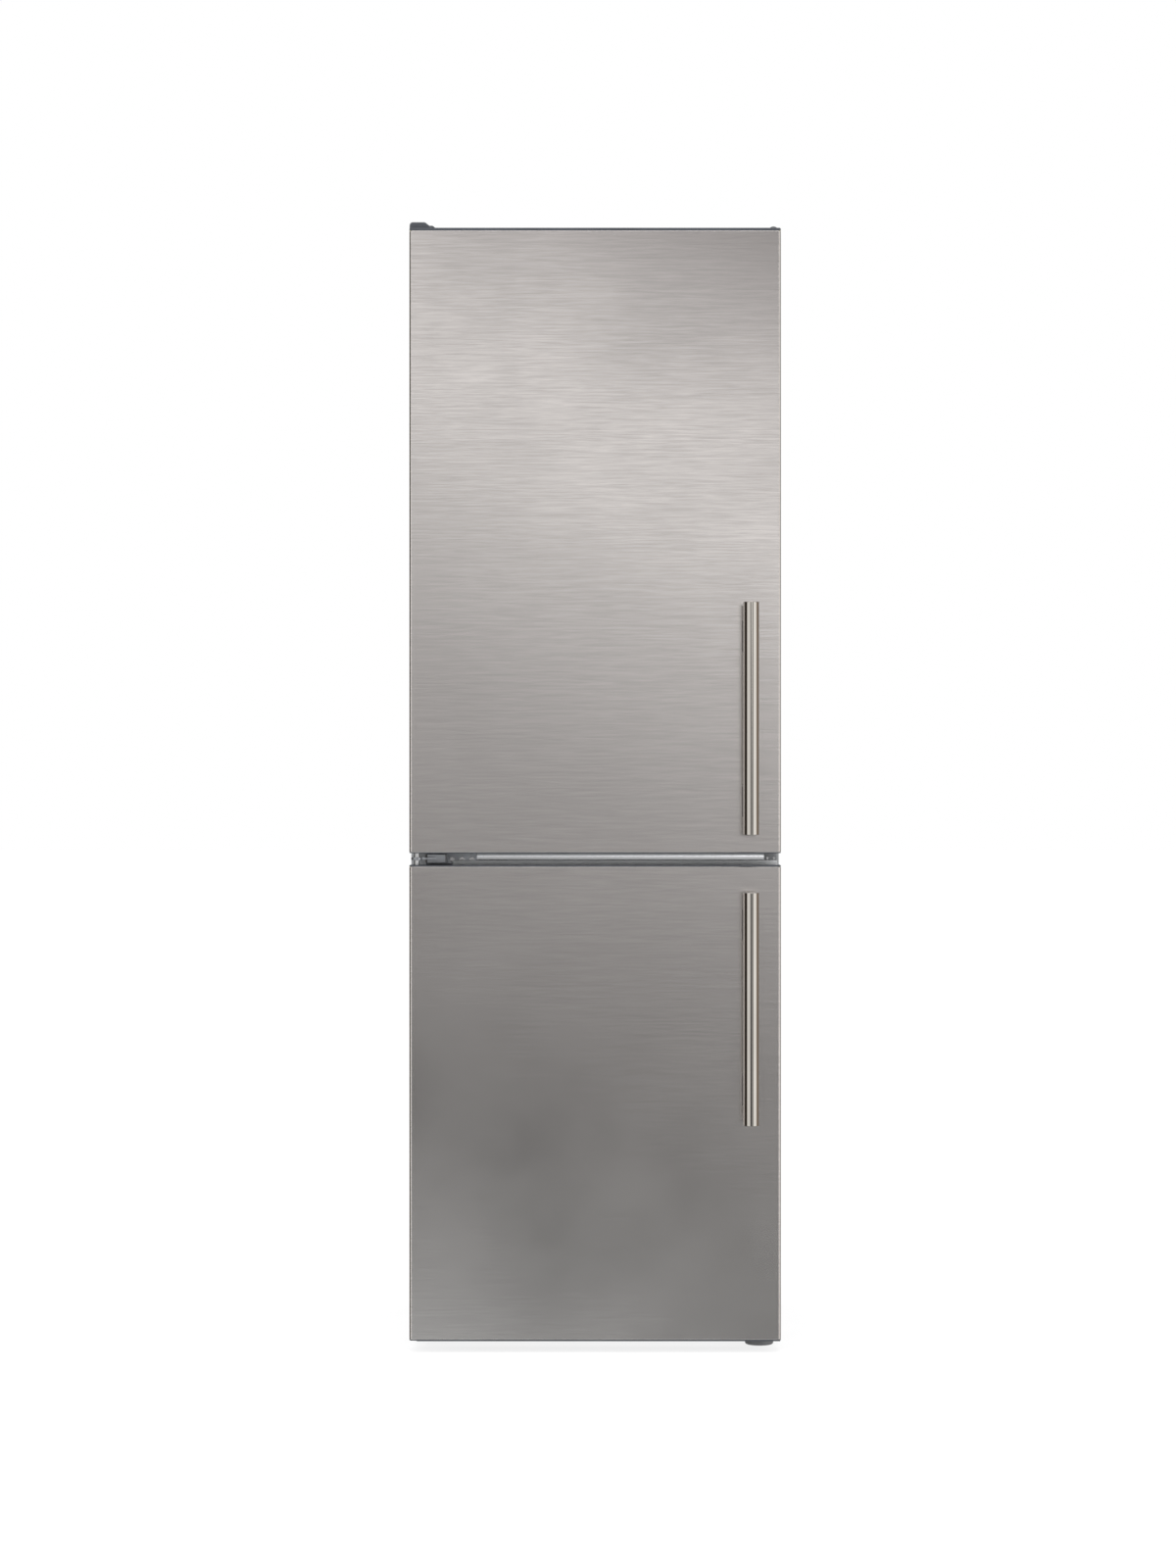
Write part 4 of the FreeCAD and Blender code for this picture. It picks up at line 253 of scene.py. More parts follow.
def tube(name: str, points: Sequence[Point], radius: float, fineness: int) -> Piece:
    """A round tube along a run of points.

    Args:
        name: The piece's name.
        points: The points.
        radius: The tube's radius.
        fineness: How round it is.

    Returns:
        The tube, closed at both ends.
    """
    pick_up(thread_through(name, points))
    bpy.ops.object.convert(target="CURVE")
    line = bpy.context.object.data
    line.bevel_depth = radius * MM
    line.bevel_resolution = fineness
    line.use_fill_caps = True
    bpy.ops.object.convert(target="MESH")
    return close_up(bpy.context.object)


def serpentine(name: str, place: Point, run: float, bend: float, rows: int, steps: int,
               tube_size: tuple[float, int]) -> Piece:
    """A tube that runs to and fro across the back in level rows.

    Args:
        name: The piece's name.
        place: The middle of the lowest row.
        run: Half of a row's straight length.
        bend: The radius of the turns.
        rows: How many rows there are.
        steps: How many steps a turn has.
        tube_size: The tube's radius and fineness.

    Returns:
        The tube.
    """
    points: list[Point] = []
    for row in range(rows):
        way = 1.0 if row % 2 == 0 else -1.0
        z = place[2] + 2.0 * bend * row
        points.append((place[0] - way * run, place[1], z))
        if row < rows - 1:
            points += [(place[0] + way * (run + bend * math.sin(a)), place[1], z + bend - bend * math.cos(a))
                       for a in (math.pi * step / steps for step in range(steps))]
        else:
            points.append((place[0] + way * run, place[1], z))
    return tube(name, points, *tube_size)


def pick(piece: Piece, kind: str, wanted: Test) -> None:
    """Enters edit mode with the edges or faces selected that pass a test.

    Args:
        piece: The piece.
        kind: EDGE or FACE.
        wanted: A test of the middle and of an edge's direction or a face's normal.
    """
    edit(piece, kind, "DESELECT")
    mesh = bmesh.from_edit_mesh(piece.data)
    if kind == "FACE":
        found = [(face, face.calc_center_median(), face.normal) for face in mesh.faces]
    else:
        ends = [(edge, *(corner.co for corner in edge.verts)) for edge in mesh.edges]
        found = [(edge, (first + second) / 2.0, (second - first).normalized()) for edge, first, second in ends]
    for part, middle, way in found:
        if wanted(middle / MM, way):
            part.select_set(True)
    bmesh.update_edit_mesh(piece.data)


def open_up(piece: Piece, wanted: Test) -> Piece:
    """Deletes the faces that pass a test.

    Args:
        piece: The piece.
        wanted: A test of a face's middle and normal.

    Returns:
        The same piece.
    """
    pick(piece, "FACE", wanted)
    bpy.ops.mesh.delete(type="FACE")
    return finish_edit(piece)


def round_where(piece: Piece, radius: float, steps: int, wanted: Test) -> Piece:
    """Rounds the edges that pass a test.

    Args:
        piece: The piece.
        radius: The round's radius.
        steps: How many faces it has.
        wanted: A test of an edge's middle and direction.

    Returns:
        The same piece.
    """
    pick(piece, "EDGE", wanted)
    bpy.ops.mesh.bevel(offset=radius * MM, segments=steps, affect="EDGES")
    return finish_edit(piece)


def apply_modifier(piece: Piece, kind: str, **settings: object) -> Piece:
    """Adds a modifier with its settings and applies it.

    Args:
        piece: The piece.
        kind: The modifier's type.
        **settings: Its properties.

    Returns:
        The same piece.
    """
    pick_up(piece)
    change = piece.modifiers.new(kind.lower(), kind)
    for key, value in settings.items():
        setattr(change, key, value)
    bpy.ops.object.modifier_apply(modifier=change.name)
    return piece


def ease_edges(piece: Piece, radius: float, steps: int = 2) -> Piece:
    """Breaks every sharp edge by a small round."""
    return apply_modifier(
        piece, "BEVEL", width=radius * MM, segments=steps, limit_method="ANGLE", angle_limit=SMOOTH_ANGLE)


def thicken(piece: Piece, wall: float) -> Piece:
    """Gives an open sheet a wall on its inner side."""
    return apply_modifier(piece, "SOLIDIFY", thickness=wall * MM, offset=-1.0, use_even_offset=True)


def carve(piece: Piece, tool: Piece) -> Piece:
    """Cuts a tool's shape out of a piece and discards the tool.

    Args:
        piece: The piece.
        tool: The shape to cut out.

    Returns:
        The same piece.
    """
    apply_modifier(piece, "BOOLEAN", operation="DIFFERENCE", solver="EXACT", object=tool)
    bpy.data.objects.remove(tool)
    return piece


def trim(piece: Piece, place: Point, keep: Point) -> Piece:
    """Cuts a piece at a plane and keeps the side that the vector points to, without a new face.

    Args:
        piece: The piece.
        place: A point on the plane.
        keep: The vector.

    Returns:
        The same piece.
    """
    edit(piece)
    bpy.ops.mesh.bisect(plane_co=metres(place), plane_no=Vector(keep).normalized(), clear_inner=True)
    return finish_edit(piece)


def weld(piece: Piece, *others: Piece) -> Piece:
    """Joins other pieces into one mesh with the first, without merging their walls.

    Args:
        piece: The first piece.
        *others: The pieces that it takes in.

    Returns:
        The first piece.
    """
    put_down()
    for other in (piece, *others):
        other.select_set(True)
    bpy.context.view_layer.objects.active = piece
    bpy.ops.object.join()
    return piece


def moved_copy(piece: Piece, name: str, move: Matrix) -> Piece:
    """A copy with a mesh of its own, moved, turned or mirrored.

    Args:
        piece: The piece.
        name: The copy's name.
        move: The move.

    Returns:
        The copy.
    """
    pick_up(piece)
    bpy.ops.object.duplicate(linked=False)
    twin = bpy.context.object
    twin.name = name
    twin.data.name = name
    twin.data.transform(move)
    if move.determinant() < 0.0:
        twin.data.flip_normals()
    return twin


def copied(piece: Piece, name: str, offset: Point) -> Piece:
    """A copy moved by an offset."""
    return moved_copy(piece, name, Matrix.Translation(metres(offset)))


def mirrored(piece: Piece, name: str, axis: Axis, level: float = 0.0) -> Piece:
    """A copy mirrored at a plane across an axis."""
    shift = Matrix.Translation(Vector(axis.value) * 2.0 * level * MM)
    return moved_copy(piece, name, shift @ Matrix.Scale(-1.0, 4, axis.value))


def rounded_plan(low: Flat, high: Flat, radius: float, steps: int = 8) -> list[Flat]:
    """The corners of a rectangle with rounded corners, counter-clockwise.

    Args:
        low: The lowest corner of the rectangle.
        high: Its highest corner.
        radius: The radius of its corners.
        steps: How many steps a corner has.

    Returns:
        The corners of the outline.
    """
    centres = ((high[0] - radius, high[1] - radius), (low[0] + radius, high[1] - radius),
               (low[0] + radius, low[1] + radius), (high[0] - radius, low[1] + radius))
    return [(x + radius * math.cos(angle), y + radius * math.sin(angle))
            for quarter, (x, y) in enumerate(centres)
            for angle in (QUARTER_TURN * (quarter + step / steps) for step in range(steps + 1))]


def mitred_frame(name: str, profile: Sequence[Flat], half: float, low: float, high: float) -> Piece:
    """A closed profile carried round an upright rectangle.

    Args:
        name: The piece's name.
        profile: (inset from the outer edge, y) pairs.
        half: Half of the rectangle's width.
        low: The height of its foot.
        high: The height of its top.

    Returns:
        The ring, mitred and merged at its four corners.
    """
    right = extruded(name, [(half - inset, y, low) for inset, y in profile], (0.0, 0.0, high - low))
    trim(right, (half, 0.0, low), (1.0, 0.0, 1.0))
    trim(right, (half, 0.0, high), (1.0, 0.0, -1.0))
    foot = extruded(name + "_foot", [(-half, y, low + inset) for inset, y in profile], (2.0 * half, 0.0, 0.0))
    trim(foot, (half, 0.0, low), (-1.0, 0.0, -1.0))
    trim(foot, (-half, 0.0, low), (1.0, 0.0, -1.0))
    left = mirrored(right, name + "_left", Axis.X)
    top = mirrored(foot, name + "_top", Axis.Z, (low + high) / 2.0)
    return close_up(weld(right, foot, left, top))


def softened(node: str, radius: float, steps: int = 2) -> Piece:
    """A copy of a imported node, merged, with its flat faces made whole and its edges eased.

    Args:
        node: The node.
        radius: The radius of the round.
        steps: How many faces it has.

    Returns:
        The copy.
    """
    piece = bpy.data.objects.new(node + "_eased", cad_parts[node].data.copy())
    bpy.context.collection.objects.link(piece)
    edit(piece)
    bpy.ops.mesh.remove_doubles(threshold=MERGE_DISTANCE)
    bpy.ops.mesh.dissolve_limited(angle_limit=FLAT_ANGLE)
    return ease_edges(finish_edit(piece), radius, steps)


# Shader nodes


class Bench:
    """Adds and joins nodes in one shader tree."""

    def __init__(self, tree: bpy.types.NodeTree) -> None:
        """Keeps the tree that the nodes go into."""
        self.tree = tree

    def feed(self, node: Node, **inputs: object) -> Node:
        """Sets or links a node's inputs.

        Args:
            node: The node.
            **inputs: Values or output sockets, by the input's name with underscores for spaces, or by i and its number.

        Returns:
            The same node.
        """
        for key, value in inputs.items():
            numbered = key[0] == "i" and key[1:].isdigit()
            socket = node.inputs[int(key[1:]) if numbered else key.replace("_", " ")]
            if isinstance(value, Socket):
                self.tree.links.new(value, socket)
            else:
                socket.default_value = value
        return node

    def add(self, kind: str, settings: dict[str, object] | None = None, **inputs: object) -> Node:
        """Adds a node, sets its properties and feeds its inputs.

        Args:
            kind: The node's type.
            settings: Its properties.
            **inputs: What feed takes.

        Returns:
            The node.
        """
        node = self.tree.nodes.new(kind)
        for key, value in (settings or {}).items():
            setattr(node, key, value)
        return self.feed(node, **inputs)

    def use(self, tree: bpy.types.NodeTree, **inputs: object) -> Node:
        """Places a shader group with its own values."""
        return self.add("ShaderNodeGroup", {"node_tree": tree}, **inputs)

    def maths(self, operation: str, first: object, second: object = 0.0) -> Socket:
        """A Math node's result."""
        return self.add("ShaderNodeMath", {"operation": operation}, i0=first, i1=second).outputs[0]

    def mix(self, factor: object, first: object, second: object) -> Socket:
        """A colour between two colours."""
        return self.add("ShaderNodeMix", {"data_type": "RGBA"}, i0=factor, i6=first, i7=second).outputs[2]

    def span(self, value: Socket, low: float, high: float, to_low: object = 0.0, to_high: object = 1.0) -> Socket:
        """A value taken from one range to another."""
        node = self.add("ShaderNodeMapRange", Value=value, From_Min=low, From_Max=high, To_Min=to_low, To_Max=to_high)
        return node.outputs[0]


def rgba(colour: Sequence[float]) -> tuple[float, ...]:
    """A colour with full opacity."""
    return (*colour, 1.0)


def new_group(name: str, inputs: dict[str, float | None], *outputs: str) -> tuple[Bench, Node, Node]:
    """An empty shader group with its sockets.

    Args:
        name: The group's name.
        inputs: Input names and defaults; None is a vector.
        *outputs: The names of the outputs, each a value.

    Returns:
        A bench for the group, its input node and its output node.
    """
    tree = bpy.data.node_groups.new(name, "ShaderNodeTree")
    for key, value in inputs.items():
        kind = "NodeSocketVector" if value is None else "NodeSocketFloat"
        socket = tree.interface.new_socket(name=key, in_out="INPUT", socket_type=kind)
        if value is not None:
            socket.default_value = value
    for key in outputs:
        tree.interface.new_socket(name=key, in_out="OUTPUT", socket_type="NodeSocketFloat")
    bench = Bench(tree)
    return bench, bench.add("NodeGroupInput"), bench.add("NodeGroupOutput")


@cache
def brushed_lines() -> bpy.types.NodeTree:
    """Fine level lines of a brushed surface: straight rows, each with streaks of its own.

    Returns:
        The group, whose output is 0 in a dark line and 1 in a light one.
    """
    bench, given, result = new_group("brushed_lines", {"Place": None, "Along": 15.0, "Across": 500.0}, "Line")
    parts = bench.add("ShaderNodeSeparateXYZ", Vector=given.outputs["Place"])
    layers = []
    for fineness, share, shift in ((1.0, 0.6, 7.3), (1.9, 0.4, 11.7)):
        density = bench.maths("MULTIPLY", given.outputs["Across"], fineness)
        rows = bench.maths("FLOOR", bench.maths("MULTIPLY", parts.outputs["Z"], density))
        x, y = (bench.maths("MULTIPLY", parts.outputs[key], given.outputs["Along"]) for key in ("X", "Y"))
        place = bench.add("ShaderNodeCombineXYZ", X=x, Y=y, Z=bench.maths("MULTIPLY", rows, shift)).outputs[0]
        streak = bench.add("ShaderNodeTexNoise", Vector=place, Scale=fineness, Detail=2.0, Roughness=0.5)
        layers.append(bench.maths("MULTIPLY", streak.outputs[0], share))
    bench.feed(result, Line=bench.span(bench.maths("ADD", *layers), 0.36, 0.64))
    return bench.tree


@cache
def surface_grain() -> bpy.types.NodeTree:
    """The even fine grain of moulded plastic, rubber and paint, and a soft change of tone.

    Returns:
        The group, with a height and a tone.
    """
    bench, given, result = new_group("surface_grain", {"Place": None, "Scale": 900.0}, "Height", "Tone")
    place = given.outputs["Place"]
    pits = bench.add("ShaderNodeTexNoise", Vector=place, Scale=given.outputs["Scale"], Detail=2.0)
    cloud = bench.add("ShaderNodeTexNoise", Vector=place, Scale=11.0, Detail=3.0)
    bench.feed(result, Height=pits.outputs[0], Tone=bench.span(cloud.outputs[0], 0.3, 0.7))
    return bench.tree


@cache
def handling() -> bpy.types.NodeTree:
    """Soft patches where a surface was wiped and touched.

    Returns:
        The group, with a value between its low and its high input.
    """
    bench, given, result = new_group("handling", {"Place": None, "Scale": 5.0, "Low": 0.3, "High": 0.4}, "Value")
    place, scale, low, high = (given.outputs[key] for key in ("Place", "Scale", "Low", "High"))
    patch = bench.add("ShaderNodeTexNoise", Vector=place, Scale=scale, Detail=4.0, Roughness=0.6)
    bench.feed(result, Value=bench.span(patch.outputs[0], 0.35, 0.65, low, high))
    return bench.tree


def start_material(name: str) -> tuple[bpy.types.Material, Bench, Node, Socket]:
    """A new material with a bench for its nodes, its Principled BSDF and the Object coordinates.

    Args:
        name: The material's name.

    Returns:
        The material, the bench, the shader and the coordinates.
    """
    material = bpy.data.materials.new(name)
    material.use_nodes = True
    bench = Bench(material.node_tree)
    shader = next(node for node in material.node_tree.nodes if node.type == "BSDF_PRINCIPLED")
    return material, bench, shader, bench.add("ShaderNodeTexCoord").outputs["Object"]


@dataclass(frozen=True)
class Finish:
    """What every finish has: two tones that it varies between, and its range of roughness."""

    name: str
    colour: Colour
    shade: Colour
    rough_low: float
    rough_high: float

    def make(self) -> bpy.types.Material:
        """Builds the material.

        Returns:
            The material.
        """
        material, bench, shader, place = start_material(self.name)
        self.dress(bench, shader, place)
        return material

    def dress(self, bench: Bench, shader: Node, place: Socket) -> None:
        """Feeds the surface shader, from the Object coordinates."""
        raise NotImplementedError

    def between(self, bench: Bench, mask: Socket) -> Socket:
        """The tone between shade and colour."""
        return bench.mix(mask, rgba(self.shade), rgba(self.colour))

    def touched(self, bench: Bench, place: Socket, scale: float) -> Socket:
        """The roughness, with patches from handling."""
        patches = bench.use(handling(), Place=place, Scale=scale, Low=self.rough_low, High=self.rough_high)
        return patches.outputs[0]

    def grained(self, bench: Bench, shader: Node, place: Socket, fineness: float, patches: float, bump: Flat) -> None:
        """Feeds soft tones and patches of gloss over a fine grain.

        Args:
            bench: The material's bench.
            shader: Its Principled BSDF.
            place: Its Object coordinates.
            fineness: The scale of the grain.
            patches: The scale of the patches.
            bump: The strength and the distance of the grain's relief.
        """
        grain = bench.use(surface_grain(), Place=place, Scale=fineness)
        relief = bench.add("ShaderNodeBump", Strength=bump[0], Distance=bump[1], Height=grain.outputs["Height"])
        bench.feed(shader, Base_Color=self.between(bench, grain.outputs["Tone"]),
                   Roughness=self.touched(bench, place, patches), Normal=relief.outputs[0])


@dataclass(frozen=True)
class BrushedSteel(Finish):
    """Metal with level brush lines."""

    along: float
    across: float
    wiped: float = 0.03

    def dress(self, bench: Bench, shader: Node, place: Socket) -> None:
        """Feeds colour and roughness from the lines.

        Args:
            bench: The material's bench.
            shader: Its Principled BSDF.
            place: Its Object coordinates.
        """
        line = bench.use(brushed_lines(), Place=place, Along=self.along, Across=self.across).outputs["Line"]
        wiped = bench.use(handling(), Place=place, Scale=3.0, Low=0.0, High=self.wiped).outputs[0]
        rough = bench.maths("ADD", bench.span(line, 0.0, 1.0, self.rough_high, self.rough_low), wiped)
        bench.feed(shader, Base_Color=self.between(bench, line), Roughness=rough, Metallic=1.0)


@dataclass(frozen=True)
class SmoothMetal(Finish):
    """Polished, plated or bare smooth metal with faint marks of use."""

    scale: float = 60.0
    fineness: float = 20.0
    bump: Flat = (0.03, 0.0002)

    def dress(self, bench: Bench, shader: Node, place: Socket) -> None:
        """Feeds a metal with a nearly flat grain."""
        self.grained(bench, shader, place, self.scale * self.fineness, self.scale, self.bump)
        bench.feed(shader, Metallic=1.0)


@dataclass(frozen=True)
class Moulded(Finish):
    """Moulded plastic, rubber, foam or paint."""

    grain: float = 900.0
    relief: float = 0.08
    coat: float = 0.0
    coat_roughness: float = 0.15
    patches: float = 7.0
    depth: float = 0.0003

    def dress(self, bench: Bench, shader: Node, place: Socket) -> None:
        """Feeds a grain and a thin coat."""
        self.grained(bench, shader, place, self.grain, self.patches, (self.relief, self.depth))
        bench.feed(shader, Coat_Weight=self.coat, Coat_Roughness=self.coat_roughness)


@dataclass(frozen=True)
class Clear(Finish):
    """Glass or clear plastic with faint haze, its shade towards the rims."""

    index: float
    rim: float = 0.15
    clouds: float = 0.15
    haze: float = 9.0

    def dress(self, bench: Bench, shader: Node, place: Socket) -> None:
        """Feeds a clear body with a tinted rim and faint clouds.

        Args:
            bench: The material's bench.
            shader: Its Principled BSDF.
            place: Its Object coordinates.
        """
        clouds = bench.maths("MULTIPLY", bench.use(surface_grain(), Place=place).outputs["Tone"], self.clouds)
        rim = bench.add("ShaderNodeLayerWeight", Blend=self.rim).outputs["Facing"]
        tone = bench.mix(clouds, bench.mix(rim, rgba(self.colour), rgba(self.shade)), rgba(self.shade))
        bench.feed(shader, Base_Color=tone, Roughness=self.touched(bench, place, self.haze), IOR=self.index,
                   Transmission_Weight=1.0)


FINISHES = {finish.name: finish for finish in (
    BrushedSteel("door_steel", (0.638, 0.604, 0.585), (0.566, 0.536, 0.518), 0.158, 0.175, 15.0, 500.0),
    SmoothMetal("rail_steel", (0.95, 0.96, 0.98), (0.9, 0.91, 0.93), 0.11, 0.16, 8.0),
    SmoothMetal("bar_metal", (0.425, 0.4, 0.368), (0.4, 0.376, 0.344), 0.06, 0.09, 6.0),
    SmoothMetal("pin_steel", (0.62, 0.62, 0.62), (0.5, 0.5, 0.5), 0.18, 0.3),
    SmoothMetal("zinc", (0.5, 0.52, 0.55), (0.38, 0.39, 0.41), 0.28, 0.45),
    SmoothMetal("aluminium", (0.78, 0.79, 0.8), (0.66, 0.67, 0.68), 0.22, 0.4),
    SmoothMetal("copper", (0.82, 0.45, 0.28), (0.55, 0.27, 0.16), 0.25, 0.42),
    Moulded("cap_plastic", (0.055, 0.06, 0.07), (0.04, 0.043, 0.05), 0.4, 0.52),
    Moulded("bracket_plastic", (0.06, 0.052, 0.048), (0.042, 0.036, 0.034), 0.3, 0.42),
    Moulded("cabinet_paint", (0.25, 0.255, 0.262), (0.243, 0.248, 0.255), 0.36, 0.41, 1400.0, 0.05, 0.15),
    Moulded("rail_paint", (0.5, 0.51, 0.525), (0.485, 0.495, 0.51), 0.34, 0.42, 1400.0, 0.05, 0.2),
    Moulded("black_paint", (0.02, 0.02, 0.022), (0.012, 0.012, 0.013), 0.3, 0.45, 1200.0, 0.08, 0.2),
    Moulded("white_plastic", (0.75, 0.757, 0.757), (0.744, 0.751, 0.752), 0.29, 0.31, 700.0, 0.04, 0.2),
    Moulded("grey_plastic", (0.42, 0.43, 0.45), (0.37, 0.38, 0.4), 0.34, 0.46),
    Moulded("black_plastic", (0.03, 0.03, 0.032), (0.02, 0.02, 0.021), 0.38, 0.55),
    Moulded("foot_plastic", (0.13, 0.132, 0.135), (0.1, 0.102, 0.105), 0.4, 0.52),
    Moulded("end_plastic", (0.2, 0.205, 0.21), (0.17, 0.173, 0.18), 0.34, 0.44),
    # Painted light: a pale copy of the dark cap plastic for the lower door cap's lip, so the lip shows as a lit band
    # between the doors.
    Moulded("lit_lip_plastic", (0.68, 0.685, 0.69), (0.66, 0.665, 0.67), 0.36, 0.42),
    Moulded("gasket_rubber", (0.28, 0.285, 0.29), (0.23, 0.235, 0.24), 0.55, 0.7, 1600.0, 0.1),
    Moulded("black_rubber", (0.025, 0.025, 0.025), (0.015, 0.015, 0.015), 0.6, 0.78, 1600.0, 0.12),
    Moulded("foam", (0.8, 0.72, 0.45), (0.7, 0.61, 0.36), 0.8, 0.92, 500.0, 0.5),
    Clear("shelf_glass", (0.975, 0.99, 0.985), (0.74, 0.9, 0.86), 0.01, 0.03, 1.45),
    Clear("clear_plastic", (0.985, 0.992, 0.996), (0.82, 0.89, 0.92), 0.04, 0.09, 1.18),
    Clear("frosted_plastic", (0.95, 0.96, 0.97), (0.85, 0.88, 0.9), 0.35, 0.5, 1.4),
)}
MADE_OF = {
    "door_steel": "upper_door_skin lower_door_skin",
    "rail_steel": "mullion_crossbar",
    "bar_metal": "upper_handle_bar lower_handle_bar",
    "pin_steel": "hinge_pins hinge_screws",
    "zinc": "top_hinge_bracket middle_hinge_bracket bottom_hinge_bracket",
    "aluminium": "evaporator",
    "copper": "filter_drier",
    "cap_plastic": "upper_door_caps lower_door_caps top_hinge_cover",
    "bracket_plastic": "upper_handle_brackets lower_handle_brackets",
    "cabinet_paint": "side_panels top_panel",
    "rail_paint": "back_panel bottom_panel base_frame",
    "black_paint": "compressor condenser",
    "white_plastic": "fridge_liner freezer_liner upper_door_liner lower_door_liner shelf_trims control_housing "
                     "temperature_knob light_switch air_duct_cover evaporator_cover",
    "grey_plastic": "freezer_fan",
    "black_plastic": "fan_motor compressor_relay_box drip_tray mains_inlet condenser_spacers rear_roller_left "
                     "rear_roller_right",
    "foot_plastic": "foot_left foot_right",
    "end_plastic": "mullion_end_cover",
    "gasket_rubber": "upper_door_gasket lower_door_gasket",
    "black_rubber": "compressor_mounts",
    "foam": "cabinet_insulation upper_door_insulation lower_door_insulation",
    "shelf_glass": "glass_shelves freezer_shelves",
    "clear_plastic": "door_bins bottle_bin crisper_drawer freezer_drawer_top freezer_drawer_middle "
                     "freezer_drawer_bottom",
    "frosted_plastic": "lamp_cover",
}
CARRIED = {node: finish for finish, nodes in MADE_OF.items() for node in nodes.split()}


@cache
def finish_of(key: str) -> bpy.types.Material:
    """The material of a finish, built at its first use."""
    return FINISHES[key].make()


def dress_carried() -> None:
    """Gives every CAD node the finish of what it is made of."""
    for node, key in CARRIED.items():
        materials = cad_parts[node].data.materials
        if not materials:
            materials.append(None)
        for index in range(len(materials)):
            materials[index] = finish_of(key)
        LOG.info("%s carries %s", node, key)


def fit(piece: Piece, node: str, body: str = "cabinet", finish: str = "") -> None:
    """Finishes a piece and ties it to the frame.

    Args:
        piece: The modelled piece.
        node: The CAD node whose finish it has, and which it replaces.
        body: The CAD body that it moves with.
        finish: A finish of its own, for a piece that only adds to the node.
    """
    pick_up(piece)
    bpy.ops.object.shade_smooth_by_angle(angle=SMOOTH_ANGLE)
    apply_modifier(piece, "WEIGHTED_NORMAL", keep_sharp=True)
    piece.data.materials.clear()
    piece.data.materials.append(finish_of(finish or CARRIED[node]))
    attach(piece, body)
    if not finish:
        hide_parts(node)
    LOG.info("%s rides on %s", piece.name, body)


EASED = {
    "cabinet": {
        "middle_hinge_bracket": 0.7, "top_hinge_bracket": 0.5, "bottom_hinge_bracket": 0.4, "mullion_end_cover": 0.5,
        "fridge_liner": 0.9, "freezer_liner": 0.9, "glass_shelves": 0.6, "shelf_trims": 0.5, "control_housing": 1.2,
        "lamp_cover": 0.8, "air_duct_cover": 0.8, "freezer_shelves": 0.6, "evaporator_cover": 0.4, "base_frame": 0.4,
        "compressor_relay_box": 1.6, "drip_tray": 0.7, "mains_inlet": 0.6, "condenser_spacers": 1.2},
    "upper_door": {"upper_door_liner": 1.2},
    "lower_door": {"lower_door_liner": 1.2},
    "switch": {"light_switch": 0.5},
    "crisper": {"crisper_drawer": 0.7},
    "drawer_top": {"freezer_drawer_top": 0.7},
    "drawer_middle": {"freezer_drawer_middle": 0.7},
    "drawer_bottom": {"freezer_drawer_bottom": 0.7},
}
FINE_STEPS = {"upper_door_liner": 3, "lower_door_liner": 3}


def fit_eased() -> None:
    """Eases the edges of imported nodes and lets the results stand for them."""
    for body, nodes in EASED.items():
        for node, radius in nodes.items():
            fit(softened(node, radius, FINE_STEPS.get(node, 2)), node, body)


# Sub-assemblies


def both_ways(half: Sequence[Flat], length: float) -> list[Flat]:
    """A profile from its first half, mirrored at the middle of its length."""
    return [*half, *((length - along, radius) for along, radius in reversed(half))]


